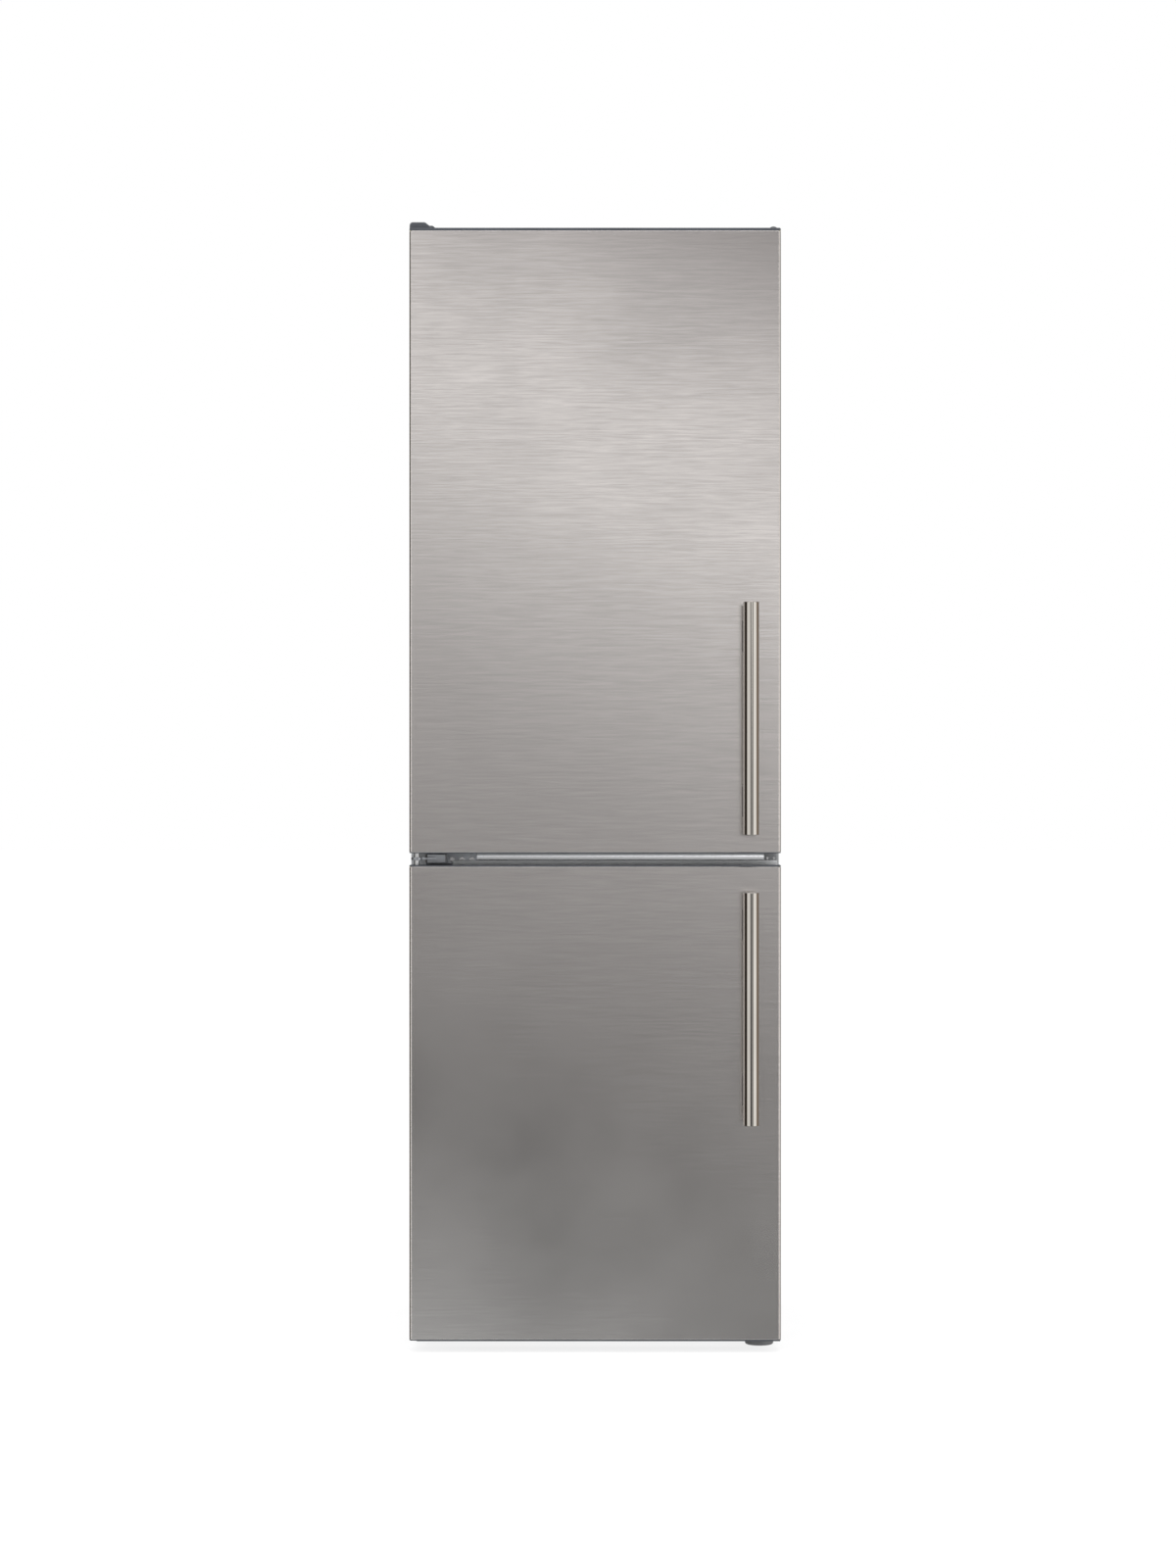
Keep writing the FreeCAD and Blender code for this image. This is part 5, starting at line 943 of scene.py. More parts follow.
@dataclass
class Door:
    """One door: folded steel pan, end caps and magnetic gasket."""

    name: str
    low: float
    high: float
    gasket_low: float
    gasket_high: float
    half_width: float = 297.5
    front: float = -293.75
    rear: float = -235.75
    liner: float = 2.0
    foot_cap: float = 1.2
    head_cap: float = 2.5
    corner: float = 2.97
    corner_turn: float = math.radians(78.0)
    taper: Flat = (1.2, 8.0)
    return_width: float = 10.0
    sheet: float = 1.0
    fold: float = 1.1
    hinge: Flat = (-286.5, -267.75)
    bore: float = 4.05
    gasket_half: float = 285.0
    gasket_middle: float = 10.0

    def slab(self, name: str, rear: float, low: float, high: float) -> Piece:
        """The door's outline as a slab: flat front, rounded corners and a slight taper behind them.

        Args:
            name: The piece's name.
            rear: The slab's rear face.
            low: Its foot.
            high: Its top.

        Returns:
            The slab.
        """
        centre = self.half_width - self.taper[0] - self.corner * math.sin(self.corner_turn)
        right = [(centre + self.corner * math.sin(turn), self.front + self.corner * (1.0 - math.cos(turn)))
                 for turn in (self.corner_turn * step / 6.0 for step in range(7))]
        right += [(self.half_width, self.front + self.taper[1]), (self.half_width, rear)]
        outline = [(-x, y) for x, y in reversed(right)] + right
        return extruded(name, [(x, y, low) for x, y in outline], (0.0, 0.0, high - low))

    def skin(self) -> None:
        """The folded pan: front sheet, rounded upright folds and narrow returns at the rear."""
        rear = self.rear - self.liner
        piece = self.slab(self.name + "_pan", rear, self.low + self.foot_cap, self.high - self.head_cap)
        round_where(piece, self.fold, 3, lambda middle, way: abs(way.z) < 0.1 and middle.y < rear - 1.0)
        open_up(piece, lambda middle, normal: abs(normal.z) > 0.99 or normal.y > 0.5)
        for side in Side:
            edge = side.value * self.half_width
            pick(piece, "EDGE",
                 lambda middle, way: abs(way.z) > 0.9 and abs(middle.x - edge) < 1.0 and middle.y > rear - 1.0)
            turn_in = metres((-side.value * self.return_width, 0.0, 0.0))
            bpy.ops.mesh.extrude_edges_move(TRANSFORM_OT_translate={"value": turn_in})
            finish_edit(piece)
        fit(thicken(piece, self.sheet), self.name + "_skin", self.name)

    def end_cap(self, low: float, high: float) -> Piece:
        """One moulded end cap with rounded front corners, eased rims and the hinge pin's hole."""
        piece = ease_edges(self.slab(self.name + "_caps_moulded", self.rear, low, high), 0.45)
        return carve(piece, rod("pin_bore", (*self.hinge, low - 5.0), 15.0, self.bore, sides=32))

    def extras(self) -> list[Piece]:
        """What is moulded on the caps besides."""
        return []

    def caps(self) -> None:
        """Both end caps and what is moulded on them."""
        first = self.end_cap(self.low, self.low + self.foot_cap)
        weld(first, self.end_cap(self.high - self.head_cap, self.high), *self.extras())
        fit(first, self.name + "_caps", self.name)

    def gasket(self) -> None:
        """The bellows gasket: foot, two folds and the soft sealing face."""
        half = [(self.gasket_middle - out, self.rear + rise) for out, rise in (
            (6.0, 0.0), (6.0, 2.6), (5.3, 3.7), (3.5, 4.1), (2.7, 5.0), (3.3, 6.4), (5.0, 7.5), (8.4, 7.8),
            (9.7, 8.5), (10.0, 9.8), (9.7, 11.1), (8.9, 11.7))]
        profile = both_ways(half, 2.0 * self.gasket_middle)
        piece = mitred_frame(self.name + "_bellows", profile, self.gasket_half, self.gasket_low, self.gasket_high)
        fit(piece, self.name + "_gasket", self.name)

    def build(self) -> None:
        """Builds the whole door."""
        self.skin()
        self.caps()
        self.gasket()


@dataclass
class UpperDoor(Door):
    """The fridge door, with the plug of its unused hinge hole and its bins."""

    head_cap: float = 4.4
    bin_half: float = 206.5
    bin_rear: float = -233.75
    bin_corner: float = 22.0
    bin_wall: float = 2.4
    hook_x: Flat = (-1.2, 4.6)
    hook_y: Flat = (-225.75, -198.75)
    hook_z: Flat = (-8.0, -5.0)
    small_size: Flat = (88.0, 70.0)
    small_floors: Point = (1129.275, 1344.339, 1559.403)
    tall_size: Flat = (100.0, 112.0)
    tall_floor: float = 864.0

    def extras(self) -> list[Piece]:
        """The domed plug."""
        dome = ((0.0, 0.0), (0.0, 7.0), (1.5, 6.9), (3.0, 6.2), (4.3, 4.9), (5.2, 3.2), (5.7, 1.4), (5.8, 0.0))
        return [turned("plug", dome, (-self.hinge[0], self.hinge[1], self.high), sides=32)]

    def bin(self, name: str, floor: float, size: Flat) -> Piece:
        """One bin: rounded front corners, a rolled rim and a hook along the top of each side.

        Args:
            name: The piece's name.
            floor: The height of its floor.
            size: Its depth and its height.

        Returns:
            The bin.
        """
        near, far = (-self.bin_half, self.bin_rear - self.bin_corner), (self.bin_half, self.bin_rear + size[0])
        plan = [corner for corner in rounded_plan(near, far, self.bin_corner, 10) if corner[1] > self.bin_rear]
        plan += [(-self.bin_half, self.bin_rear), (self.bin_half, self.bin_rear)]
        piece = extruded(name, [(x, y, floor) for x, y in plan], (0.0, 0.0, size[1]))
        open_up(piece, lambda middle, normal: normal.z > 0.5)
        round_where(piece, 5.0, 4, lambda middle, way: abs(way.z) < 0.5 and middle.z < floor + 1.0)
        ease_edges(thicken(piece, self.bin_wall), 0.7)
        low, high = (floor + size[1] + rise for rise in self.hook_z)
        for side in Side:
            inner, outer = sorted(side.value * (self.bin_half + reach) for reach in self.hook_x)
            hook = block("hook", (inner, self.hook_y[0], low), (outer, self.hook_y[1], high))
            weld(piece, ease_edges(hook, 0.8))
        return piece

    def build(self) -> None:
        """Builds the door and its four bins."""
        super().build()
        small = [self.bin("small_bins", floor, self.small_size) for floor in self.small_floors]
        fit(weld(*small), "door_bins", self.name)
        fit(self.bin("tall_bin", self.tall_floor, self.tall_size), "bottle_bin", self.name)


@dataclass
class LowerDoor(Door):
    """The freezer door, whose top cap rises towards its rear edge and whose foot cap has a low skirt."""

    skirt: tuple[Point, Point] = ((-285.5, -293.5, 18.3), (296.2, -282.0, 19.5))
    lip_start: float = -229.5
    lip_length: float = 523.5

    def extras(self) -> list[Piece]:
        """The skirt, and the rising lip as a strip of its own, in a pale copy of the dark cap plastic that paints light
        onto it.

        Returns:
            The skirt.
        """
        section = ((-273.75, 779.6), (-235.75, 779.6), (-235.75, 787.0), (-238.2, 787.0), (-240.2, 786.1),
                   (-242.4, 783.9), (-246.0, 782.0), (-254.0, 780.7))
        lip = extruded("lower_door_lip", [(self.lip_start, y, z) for y, z in section], (self.lip_length, 0.0, 0.0))
        # The lip takes the pale copy of the cap plastic: painted light on the lip.
        fit(ease_edges(lip, 0.4), self.name + "_caps", self.name, "lit_lip_plastic")
        return [ease_edges(block("skirt", *self.skirt), 0.3)]


@dataclass
class Handle:
    """A round bar on two saddle brackets."""

    name: str
    low: float
    x: float = 247.5
    y: float = -343.75
    radius: float = 12.5
    length: float = 370.0
    door: float = -293.75
    bracket_height: float = 49.0
    end_gap: float = 28.0

    def bracket(self, low: float) -> Piece:
        """One saddle bracket: foot on the door, waisted neck and a hollow that holds the bar.

        Args:
            low: The height of its lower end.

        Returns:
            The bracket.
        """
        profile = ((13.0, 0.0), (13.0, 5.0), (7.6, 12.0), (7.6, 30.5), (11.0, 34.0), (11.0, 43.0))
        outline = [(self.x + half, self.door - rise, low) for half, rise in profile]
        outline += [(self.x - half, self.door - rise, low) for half, rise in reversed(profile)]
        piece = ease_edges(extruded(self.name + "_saddles", outline, (0.0, 0.0, self.bracket_height)), 1.6, 3)
        start = (self.x, self.y, low - self.end_gap)
        return carve(piece, rod("bar_hollow", start, self.bracket_height + 2.0 * self.end_gap, self.radius, sides=96))

    def build(self) -> None:
        """Builds the bar, whose flat ends are slightly broken, and both brackets."""
        node, body = self.name + "_handle", self.name + "_door"
        bar = rod(self.name + "_bar_round", (self.x, self.y, self.low), self.length, self.radius, sides=96)
        fit(ease_edges(bar, 0.7, 3), node + "_bar", body)
        first = self.bracket(self.low + self.end_gap)
        spread = self.length - 2.0 * self.end_gap - self.bracket_height
        weld(first, copied(first, self.name + "_saddle_copy", (0.0, 0.0, spread)))
        fit(first, node + "_brackets", body)


@dataclass
class Hinges:
    """Pins, screws and the cover of the three hinges."""

    x: float = -286.5
    y: float = -267.75
    pin: float = 4.0
    pin_spans: tuple[Flat, ...] = ((1786.0, 1806.0), (766.0, 814.0), (16.6, 34.0))
    rail: float = -226.75
    bolt: Flat = (8.0, 3.2)
    top_bolts: Point = (-215.75, -199.75, -183.75)
    front_bolts: tuple[Flat, ...] = (
        (-231.0, 788.0), (-215.0, 788.0), (-199.0, 788.0), (-285.5, 44.0), (-265.5, 44.0), (-245.5, 44.0))
    small_screw: Flat = (4.0, 1.0)
    small_screws: tuple[Flat, ...] = ((278.75, 790.0), (289.25, 790.0))
    wall: float = 1.4
    shoulder: float = 5.0

    def cover_part(self, name: str, low: Point, high: Point) -> Piece:
        """A length of the cover: upright left wall with a rounded shoulder, flat top and sloped right side.

        Args:
            name: The piece's name.
            low: Its lowest corner.
            high: Its highest corner.

        Returns:
            The shell, open below.
        """
        (left, start, foot), (right, end, top) = low, high
        turn = self.shoulder
        section = [(left, foot), (left, top - turn)]
        section += [(left + turn - turn * math.cos(a), top - turn + turn * math.sin(a))
                    for a in (QUARTER_TURN / 4.0 * step for step in range(1, 4))]
        section += [(left + turn, top), (right - 12.5, top), (right - 11.3, top - 0.3), (right - 10.0, top - 1.1),
                    (right - 0.9, foot + 1.6), (right, foot + 0.5), (right, foot)]
        piece = extruded(name, [(x, start, z) for x, z in section], (0.0, end - start, 0.0))
        round_where(piece, 2.2, 4, lambda middle, way: middle.y < start + 0.5 and middle.z > foot + 1.0)
        open_up(piece, lambda middle, normal: normal.z < -0.9)
        return thicken(piece, self.wall)

    def screw(self, place: Point, axis: Axis, way: float, size: Flat) -> Piece:
        """A hexagonal head of a width and a height, with a broken crown and a shallow dish.

        Args:
            place: The middle of its seat.
            axis: Its axis.
            way: 1 or -1 along the axis.
            size: Its width and its height.

        Returns:
            The head.
        """
        width, height = size
        head = rod("hinge_screw_heads", place, way * height, width / math.sqrt(3.0), axis, 6)
        ease_edges(head, height * 0.16)
        mouth = Vector(place) + Vector(axis.value) * way * height * 0.75
        return carve(head, rod("dish", mouth, way * height, width * 0.3, axis, 24))

    def build(self) -> None:
        """Builds the moulded cover, the pins with broken ends and all the screws."""
        front = self.cover_part("hinge_cover_front", (-297.4, -281.75, 1801.0), (-261.4, -222.0, 1811.0))
        rear = self.cover_part("hinge_cover_rear", (-297.4, -223.75, 1803.0), (-251.4, -139.75, 1814.0))
        fit(weld(front, rear), "top_hinge_cover")
        pins = [ease_edges(rod("hinge_pins_round", (self.x, self.y, low), high - low, self.pin, sides=40), 0.6)
                for low, high in self.pin_spans]
        fit(weld(*pins), "hinge_pins")
        heads = [self.screw((-282.5, y, 1806.0), Axis.Z, 1.0, self.bolt) for y in self.top_bolts]
        for size, places in ((self.bolt, self.front_bolts), (self.small_screw, self.small_screws)):
            heads += [self.screw((x, self.rail, z), Axis.Y, -1.0, size) for x, z in places]
        fit(weld(*heads), "hinge_screws")


@dataclass
class Rail:
    """The rail between the doors, which leans back above its middle and rolls back below it."""

    half: float = 273.5
    front: float = -223.75
    middle: float = 790.0
    half_height: float = 18.0
    lean: float = 0.045
    roll: float = 0.003
    roll_start: float = 2.0
    wall: float = 2.2
    lip: float = 1.2
    depth: float = 12.0

    def build(self) -> None:
        """Builds the rail."""
        section = []
        for rise in (self.half_height * step / 9.0 for step in range(-9, 10)):
            above = rise - self.roll_start
            setback = self.lean * above if above > 0.0 else self.roll * above * above
            section.append((self.front + setback, self.middle + rise))
        back, rear = self.front + self.wall, self.front + self.depth
        low, high = self.middle - self.half_height, self.middle + self.half_height
        section += [(rear, high), (rear, high - self.lip), (back, high - self.lip), (back, low + self.lip),
                    (rear, low + self.lip), (rear, low)]
        piece = extruded("crossbar_rail", [(-self.half, y, z) for y, z in section], (2.0 * self.half, 0.0, 0.0))
        fit(piece, "mullion_crossbar")


@dataclass
class Knob:
    """The round temperature knob with its grip and shaft."""

    place: Point = (95.0, -134.15, 1735.0)

    def build(self) -> None:
        """Builds the knob."""
        x, y, z = self.place
        dish = ((0.0, 0.0), (0.0, 16.2), (-0.8, 17.0), (-5.2, 17.0), (-6.6, 16.2), (-7.0, 14.8), (-7.0, 0.0))
        grip = block("grip", (x - 3.0, y - 14.0, z - 15.0), (x + 3.0, y - 6.5, z + 15.0))
        round_where(grip, 4.0, 5, lambda middle, way: abs(way.x) > 0.9 and middle.y < y - 13.0)
        ease_edges(grip, 0.7)
        base = turned("temperature_knob_round", dish, self.place, Axis.Y, 64)
        fit(weld(base, grip, rod("shaft", self.place, 12.0, 3.0, Axis.Y, 32)), "temperature_knob", "knob")


@dataclass
class ColdAir:
    """Fan, motor and evaporator."""

    axis_z: float = 655.0
    fan_start: float = 213.25
    fan_middle: float = 220.25
    blades: int = 5
    pitch: float = math.radians(32.0)
    twist: float = math.radians(-14.0)
    fin_pitch: float = 10.0
    fins: int = 35

    def fan(self) -> None:
        """The hub with curved, twisted blades."""
        profile = ((0.0, 2.1), (0.0, 6.0), (-0.01, 13.0), (1.2, 15.2), (3.0, 16.0), (14.0, 16.0), (14.0, 2.1),
                   (0.0, 2.1))
        hub = turned("freezer_fan_round", profile, (0.0, self.fan_start, self.axis_z), Axis.Y)
        blade = block("blade", (-11.0, -0.8, 14.5), (11.0, 0.8, 49.0))
        edit(blade)
        bpy.ops.mesh.subdivide(number_cuts=7)
        finish_edit(blade)
        apply_modifier(blade, "SIMPLE_DEFORM", deform_method="TWIST", deform_axis="Z", angle=self.twist)
        round_where(blade, 6.0, 4, lambda middle, way: (
            middle.z > 48.0 and abs(abs(middle.x) - 11.0) < 3.0 and abs(way.y) > 0.6))
        place = Matrix.Translation(metres((0.0, self.fan_middle, self.axis_z)))
        for index in range(self.blades):
            swing = Matrix.Rotation(FULL_TURN * index / self.blades, 4, "Y")
            weld(hub, moved_copy(blade, "blade_copy", place @ swing @ Matrix.Rotation(self.pitch, 4, "Z")))
        bpy.data.objects.remove(blade)
        fit(hub, "freezer_fan", "fan")

    def motor(self) -> None:
        """The motor with its cooling rings and shaft."""
        profile = [(215.25, 0.0), (215.25, 2.0), (231.25, 2.0), (231.25, 22.0), (232.25, 23.4)]
        for start in (234.0, 240.0, 246.0, 252.0):
            profile += [(start, 24.0), (start + 3.0, 24.0), (start + 3.6, 22.4), (start + 5.4, 22.4)]
        profile += [(259.0, 24.0), (266.25, 24.0), (266.25, 0.0)]
        fit(turned("fan_motor_round", profile, (0.0, 0.0, self.axis_z), Axis.Y), "fan_motor")

    def coil(self) -> None:
        """The evaporator: a tube that runs to and fro through thin fins, on two hangers."""
        run = serpentine("evaporator_coil", (0.0, 235.25, 346.7), 166.0, 16.66, 6, 6, (4.0, 3))
        fin = block("fin", (-170.4, 214.25, 330.0), (-169.6, 256.25, 530.0))
        others = [copied(fin, "fin_copy", (self.fin_pitch * index, 0.0, 0.0)) for index in range(1, self.fins)]
        others += [block("hanger", (x - 0.6, 256.0, 500.0), (x + 0.6, 266.25, 530.0)) for x in (-170.0, 170.0)]
        fit(weld(run, fin, *others), "evaporator")

    def build(self) -> None:
        """Builds all three."""
        self.fan()
        self.motor()
        self.coil()


@dataclass
class Base:
    """Levelling feet and rear rollers."""

    x: float = 266.7
    foot_y: tuple[tuple[Side, float], ...] = ((Side.LEFT, -133.75), (Side.RIGHT, -197.75))
    thread_turns: int = 12
    thread_pitch: float = 1.5
    roller_y: float = 261.25
    roller_radius: float = 17.0
    roller_width: float = 26.0

    def foot(self, side: Side, y: float) -> None:
        """One foot: round pad, spanner hexagon and threaded stud.

        Args:
            side: The side that it stands on.
            y: Its place from front to back.
        """
        name, x = "foot_" + side.name.lower(), side.value * self.x
        pad = turned(name + "_round", ((0.0, 0.0), (0.0, 20.2), (0.9, 22.0), (2.4, 23.0), (6.8, 23.0), (8.4, 22.2),
                                       (9.6, 20.6), (10.0, 19.0), (10.0, 0.0)), (x, y, 0.0), sides=72)
        nut = ease_edges(rod("nut", (x, y, 9.9), 6.1, 9.81, sides=6), 0.5)
        thread = [(15.9, 0.0), (15.9, 4.4)]
        for rise in (self.thread_pitch * turn for turn in range(self.thread_turns)):
            thread += [(16.4 + rise, 4.3), (17.1 + rise, 5.0)]
        stud = turned("stud", thread + [(35.2, 4.3), (35.2, 0.0)], (x, y, 0.0), sides=32)
        fit(weld(pad, nut, stud), name, "levelling_" + name)

    def roller(self, side: Side) -> None:
        """One roller with dished flanks and a bore for its axle.

        Args:
            side: The side that it stands on.
        """
        name = "roller_" + side.name.lower()
        half = ((0.0, 4.05), (0.0, 7.0), (2.2, 7.6), (2.2, 12.6), (0.0, 14.2), (0.0, 15.4), (0.5, 16.5),
                (1.6, 17.0), (12.0, 17.0), (12.5, 16.4))
        start = (side.value * self.x - self.roller_width / 2.0, self.roller_y, self.roller_radius)
        ring = both_ways(half, self.roller_width) + [half[0]]
        fit(turned("rear_" + name + "_round", ring, start, Axis.X, 56), "rear_" + name, name)

    def build(self) -> None:
        """Builds feet and rollers."""
        for side, y in self.foot_y:
            self.foot(side, y)
            self.roller(side)


@dataclass
class CoolingBack:
    """Compressor, its mounts, the drier and the condenser on the back."""

    x: float = 60.0
    y: float = 226.25
    shell_low: float = 56.5
    shell_radius: float = 74.0
    dome: float = 42.0
    shell_height: float = 158.0
    stub_levels: Flat = (155.5, 115.5)
    stub_bend: float = 16.0
    drier_place: Flat = (-150.0, 261.25)

    def compressor(self) -> None:
        """The welded shell with domed ends and a seam, on its plate, with copper stubs."""
        seam = self.shell_height / 2.0
        half = [(0.0, 0.0)]
        half += [(self.dome * (1.0 - math.cos(a)), self.shell_radius - self.dome * (1.0 - math.sin(a)))
                 for a in (QUARTER_TURN / 8.0 * step for step in range(9))]
        half += [(seam - 3.4, 74.0), (seam - 2.6, 75.4), (seam - 2.2, 77.0)]
        profile = both_ways(half, self.shell_height)
        shell = turned("compressor_shell", profile, (self.x, self.y, self.shell_low), sides=72)
        plan = rounded_plan((self.x - 88.0, self.y - 60.0), (self.x + 88.0, self.y + 60.0), 12.0)
        plate = ease_edges(extruded("plate", [(x, y, 53.5) for x, y in plan], (0.0, 0.0, 3.0)), 0.8)
        fit(weld(shell, plate), "compressor")
        stubs = []
        for level in self.stub_levels:
            bend = [(-30.0 - self.stub_bend * math.sin(a), self.y, level + self.stub_bend * (1.0 - math.cos(a)))
                    for a in (QUARTER_TURN * step / 6.0 for step in range(7))]
            points = [(2.0, self.y, level), *bend, (-46.0, self.y, level + 36.0)]
            stubs.append(tube("compressor_stubs", points, 3.2, 3))
        fit(weld(*stubs), "compressor", finish="copper")

    def mounts(self) -> None:
        """The four waisted rubber mounts."""
        half = ((0.0, 0.0), (0.0, 11.4), (0.5, 12.0), (2.2, 12.0), (3.6, 10.2), (4.6, 8.6), (6.0, 8.0))
        pieces = [turned("compressor_mounts_round", both_ways(half, 14.0), (self.x + x, self.y + y, 39.5), sides=40)
                  for x in (-74.0, 74.0) for y in (-46.0, 46.0)]
        fit(weld(*pieces), "compressor_mounts")

    def drier(self) -> None:
        """The spun copper drier and its clip."""
        profile = both_ways(((0.0, 0.0), (0.0, 3.2), (4.0, 3.3), (8.0, 5.2), (12.0, 8.2), (15.0, 9.0)), 114.0)
        fit(turned("filter_drier_round", profile, (*self.drier_place, 116.0), sides=40), "filter_drier")
        ring = ((0.0, 0.0), (0.0, 10.2), (15.0, 10.2), (15.0, 0.0))
        clip = carve(turned("drier_clip", ring, (*self.drier_place, 158.0), sides=40),
                     rod("drier_room", (*self.drier_place, 150.0), 40.0, 9.05, sides=40))
        stay = block("stay", (-152.0, 131.25, 158.0), (-148.0, 252.2, 173.0))
        fit(weld(ease_edges(clip, 0.3, 1), ease_edges(stay, 0.4, 1)), "filter_drier", finish="zinc")

    def condenser(self) -> None:
        """The serpentine tube between two rows of welded wires."""
        run = serpentine("condenser_serpentine", (0.0, 341.25, 400.0), 204.0, 36.0, 16, 10, (2.4, 2))
        wire = rod("wire", (-204.0, 338.25, 388.0), 1104.0, 0.75, sides=8)
        wires = [copied(wire, "wire_copy", (27.2 * index, 6.0 * row, 0.0))
                 for index in range(16) for row in (0, 1) if index or row]
        fit(weld(run, wire, *wires), "condenser")

    def build(self) -> None:
        """Builds everything at the back."""
        self.compressor()
        self.mounts()
        self.drier()
        self.condenser()


# Studio


@dataclass(frozen=True)
class Softbox:
    """One area light, aimed at a point; the steel can be kept from mirroring it."""

    name: str
    place: Point
    target: Point
    width: float
    height: float
    power: float
    mirrored: bool = True

    def hang(self) -> None:
        """Puts the light in the studio."""
        data = bpy.data.lights.new(self.name, "AREA")
        data.shape = "RECTANGLE"
        data.size = self.width
        data.size_y = self.height
        data.energy = self.power
        lamp = bpy.data.objects.new(self.name, data)
        lamp.location = self.place
        lamp.rotation_euler = (Vector(self.target) - Vector(self.place)).to_track_quat("-Z", "Y").to_euler()
        lamp.visible_glossy = self.mirrored
        bpy.context.collection.objects.link(lamp)


@dataclass(frozen=True)
class Stop:
    """A tone of the mirrored room at a place between two ends, with a tint."""

    at: float
    tone: float
    tint: Colour


def stops(tint: Colour, *marks: Flat) -> tuple[Stop, ...]:
    """Stops of one tint from (place, tone) pairs."""
    return tuple(Stop(at, tone, tint) for at, tone in marks)


PLAIN: Colour = (1.0, 1.0, 1.0)
ROSE: Colour = (1.0, 0.95, 0.97)
COOL: Colour = (1.0, 1.05, 1.06)
EARTH: Colour = (1.0, 0.82, 0.68)


@dataclass
class Studio:
    """Camera, floor, softboxes and the graded room that the steel mirrors."""

    camera_place: Point = (-0.0114, -6.29375, 0.910)
    lens: float = 86.1
    floor_half: float = 45.0
    floor_glow: float = 0.8
    floor_tones: Flat = (0.215, 0.23)
    tilt: float = 0.46
    side_reach: float = 0.1
    height_reach: float = 0.5
    room_strength: float = 2.2
    room: tuple[Stop, ...] = (
        *stops(COOL, (-0.5, 0.85), (-0.42, 0.7), (-0.34, 0.44), (-0.30, 0.74), (-0.26, 1.25), (-0.24, 1.36),
               (-0.22, 1.29), (-0.20, 1.03), (-0.18, 0.62)),
        *stops(ROSE, (-0.16, 0.21), (-0.14, 0.0), (-0.10, 0.01), (-0.08, 0.19)),
        *stops(PLAIN, (-0.06, 0.38), (-0.04, 0.46), (-0.02, 0.46), (0.0, 0.42), (0.02, 0.40), (0.04, 0.51),
               (0.06, 0.90), (0.08, 1.55), (0.10, 2.01), (0.12, 1.73)),
        *stops(ROSE, (0.14, 0.82), (0.16, 0.06), (0.18, 0.0)),
        *stops(PLAIN, (0.26, 0.0), (0.30, 0.31), (0.34, 0.43), (0.42, 0.85), (0.5, 1.1)))
    sweep: tuple[Stop, ...] = (
        *stops(EARTH, (-1.0, 0.06), (-0.92, 0.08)),
        *stops(PLAIN, (-0.86, 1.4), (-0.5, 1.4), (-0.3, 1.25), (-0.2, 0.45), (0.44, 0.42), (0.56, 1.6), (0.975, 1.7)),
        *stops(EARTH, (0.99, 0.55), (1.0, 0.42)))
    rear: tuple[Stop, ...] = (
        *stops(EARTH, (-1.0, 0.05)), *stops(PLAIN, (0.0, 0.06), (0.5, 0.12)), *stops(EARTH, (0.88, 0.42), (1.0, 0.44)))
    calm: tuple[Stop, ...] = stops(PLAIN, (-1.0, 0.3), (-0.4, 0.46), (0.4, 0.52), (1.0, 0.42))
    ahead: Flat = (0.16, 0.28)
    behind: Flat = (-0.12, 0.05)
    strip_end: Flat = (0.12, 0.24)
    softboxes: tuple[Softbox, ...] = (
        Softbox("left_strip", (-1.91, -2.42, 1.1), (0.25, -0.34, 1.1), 0.7, 3.2, 42.0, False),
        Softbox("right_strip", (2.24, -2.59, 1.1), (0.25, -0.34, 1.1), 0.7, 3.2, 42.0, False),
        Softbox("overhead", (0.0, -0.8, 4.2), (0.0, 0.0, 0.0), 3.0, 3.0, 60.0))

    def camera(self) -> None:
        """The photograph's camera."""
        data = bpy.data.cameras.new("photo_camera")
        data.lens = self.lens
        data.sensor_width = 36.0
        data.clip_end = 120.0
        piece = bpy.data.objects.new("photo_camera", data)
        piece.location = self.camera_place
        piece.rotation_euler = Euler((QUARTER_TURN, 0.0, 0.0))
        bpy.context.collection.objects.link(piece)
        bpy.context.scene.camera = piece

    def floor(self) -> None:
        """A wide pale floor, lit from within like a light table."""
        put_down()
        bpy.ops.mesh.primitive_plane_add(size=2.0 * self.floor_half)
        piece = settle("studio_floor")
        material, bench, shader, place = start_material("studio_floor_paint")
        cloud = bench.use(surface_grain(), Place=place).outputs["Tone"]
        colour = bench.mix(cloud, *(rgba([tone] * 3) for tone in self.floor_tones))
        bench.feed(shader, Base_Color=colour, Emission_Color=rgba(PLAIN), Emission_Strength=self.floor_glow,
                   Roughness=1.0, Specular_IOR_Level=0.0)
        piece.data.materials.append(material)
        piece.visible_glossy = False

    def _ramp(self, bench: Bench, value: Socket, reach: float, marks: Sequence[Stop]) -> Socket:
        """Tones along a value from minus to plus a reach, stored below full strength.

        Args:
            bench: The world's bench.
            value: The value.
            reach: How far the value goes.
            marks: The tones and their places.

        Returns:
            The tone.
        """
        node = bench.add("ShaderNodeValToRGB", Fac=bench.span(value, -reach, reach))
        elements = node.color_ramp.elements
        while len(elements) < len(marks):
            elements.new(0.5)
        for element, mark in zip(elements, marks):
            element.position = (mark.at + reach) / (2.0 * reach)
            element.color = rgba([mark.tone * part / self.room_strength for part in mark.tint])
        return node.outputs["Color"]

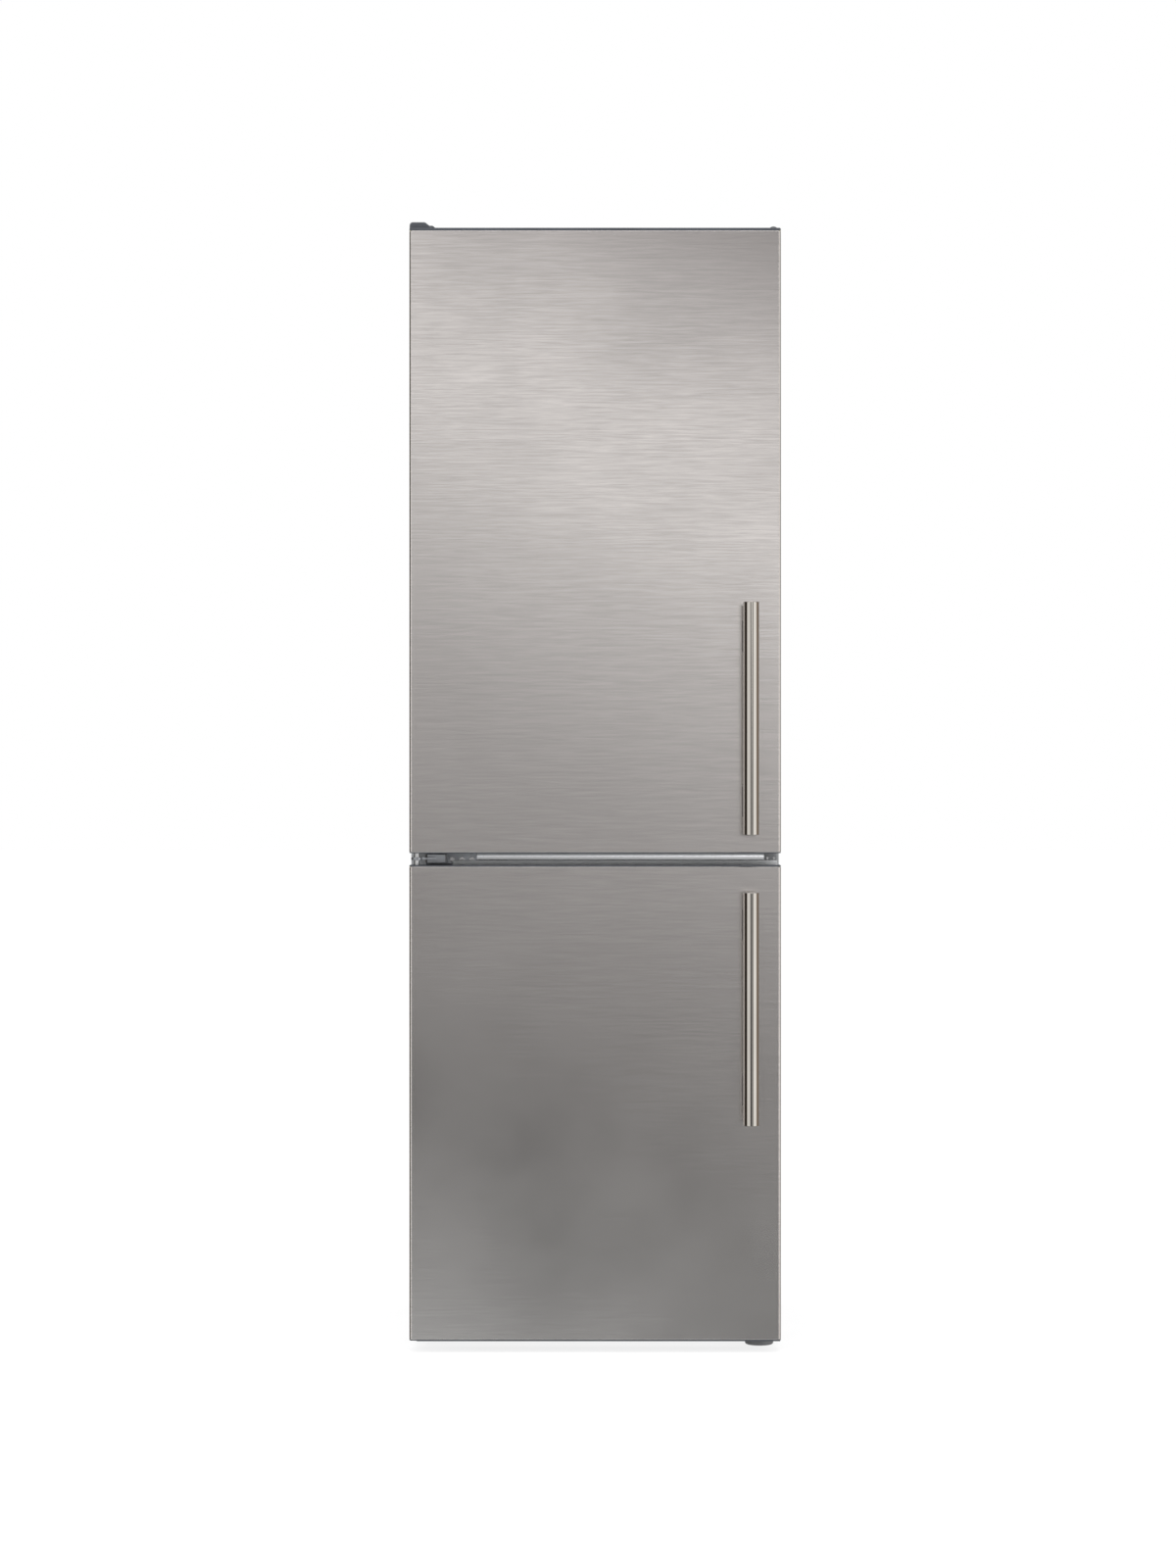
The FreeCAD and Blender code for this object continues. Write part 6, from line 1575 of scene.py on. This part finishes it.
    def surroundings(self) -> None:
        """A white room, which mirrors as slanted bands ahead, strips at the sides and calm tones elsewhere."""
        world = bpy.data.worlds.new("studio_room")
        bpy.context.scene.world = world
        world.use_nodes = True
        world.node_tree.nodes.clear()
        bench = Bench(world.node_tree)
        direction = bench.add("ShaderNodeTexCoord").outputs["Generated"]
        x, y, z = bench.add("ShaderNodeSeparateXYZ", Vector=direction).outputs
        sideways = bench.add("ShaderNodeClamp", Value=x, Min=-self.side_reach, Max=self.side_reach).outputs[0]
        level = bench.maths("ADD", z, bench.maths("MULTIPLY", sideways, self.tilt))
        bands = self._ramp(bench, level, self.height_reach, self.room)
        sweep, rear, calm = (self._ramp(bench, x, 1.0, marks) for marks in (self.sweep, self.rear, self.calm))
        past_strips = bench.span(bench.maths("ABSOLUTE", z), *self.strip_end)
        sides, rear = (bench.mix(past_strips, tones, calm) for tones in (sweep, rear))
        front = bench.mix(bench.span(bench.maths("ABSOLUTE", x), *self.ahead), bands, sides)
        tones = bench.mix(bench.span(y, *self.behind), front, rear)
        mirrored_room = bench.add("ShaderNodeVectorMath", {"operation": "SCALE"}, i0=tones, Scale=self.room_strength)
        ray = bench.add("ShaderNodeLightPath").outputs["Is Glossy Ray"]
        colour = bench.mix(ray, rgba(PLAIN), mirrored_room.outputs[0])
        back = bench.add("ShaderNodeBackground", Color=colour, Strength=1.0)
        bench.add("ShaderNodeOutputWorld", Surface=back.outputs[0])

    def build(self) -> None:
        """Sets up camera, floor and light."""
        self.camera()
        self.floor()
        for softbox in self.softboxes:
            softbox.hang()
        self.surroundings()
        bpy.context.scene.view_settings.view_transform = "Standard"


def main() -> None:
    """Builds every sub-assembly in order."""
    logging.basicConfig(level=logging.INFO, format="%(name)s: %(message)s")
    Studio().build()
    dress_carried()
    doors = (UpperDoor("upper_door", 799.3, 1800.0, 804.0, 1796.0), LowerDoor("lower_door", 19.3, 780.0, 54.0, 776.0))
    for assembly in (*doors, Handle("upper", 829.0), Handle("lower", 367.5), Hinges(), Rail(), Knob(), ColdAir(),
                     Base(), CoolingBack()):
        assembly.build()
    fit_eased()


if __name__ == "__main__":
    main()
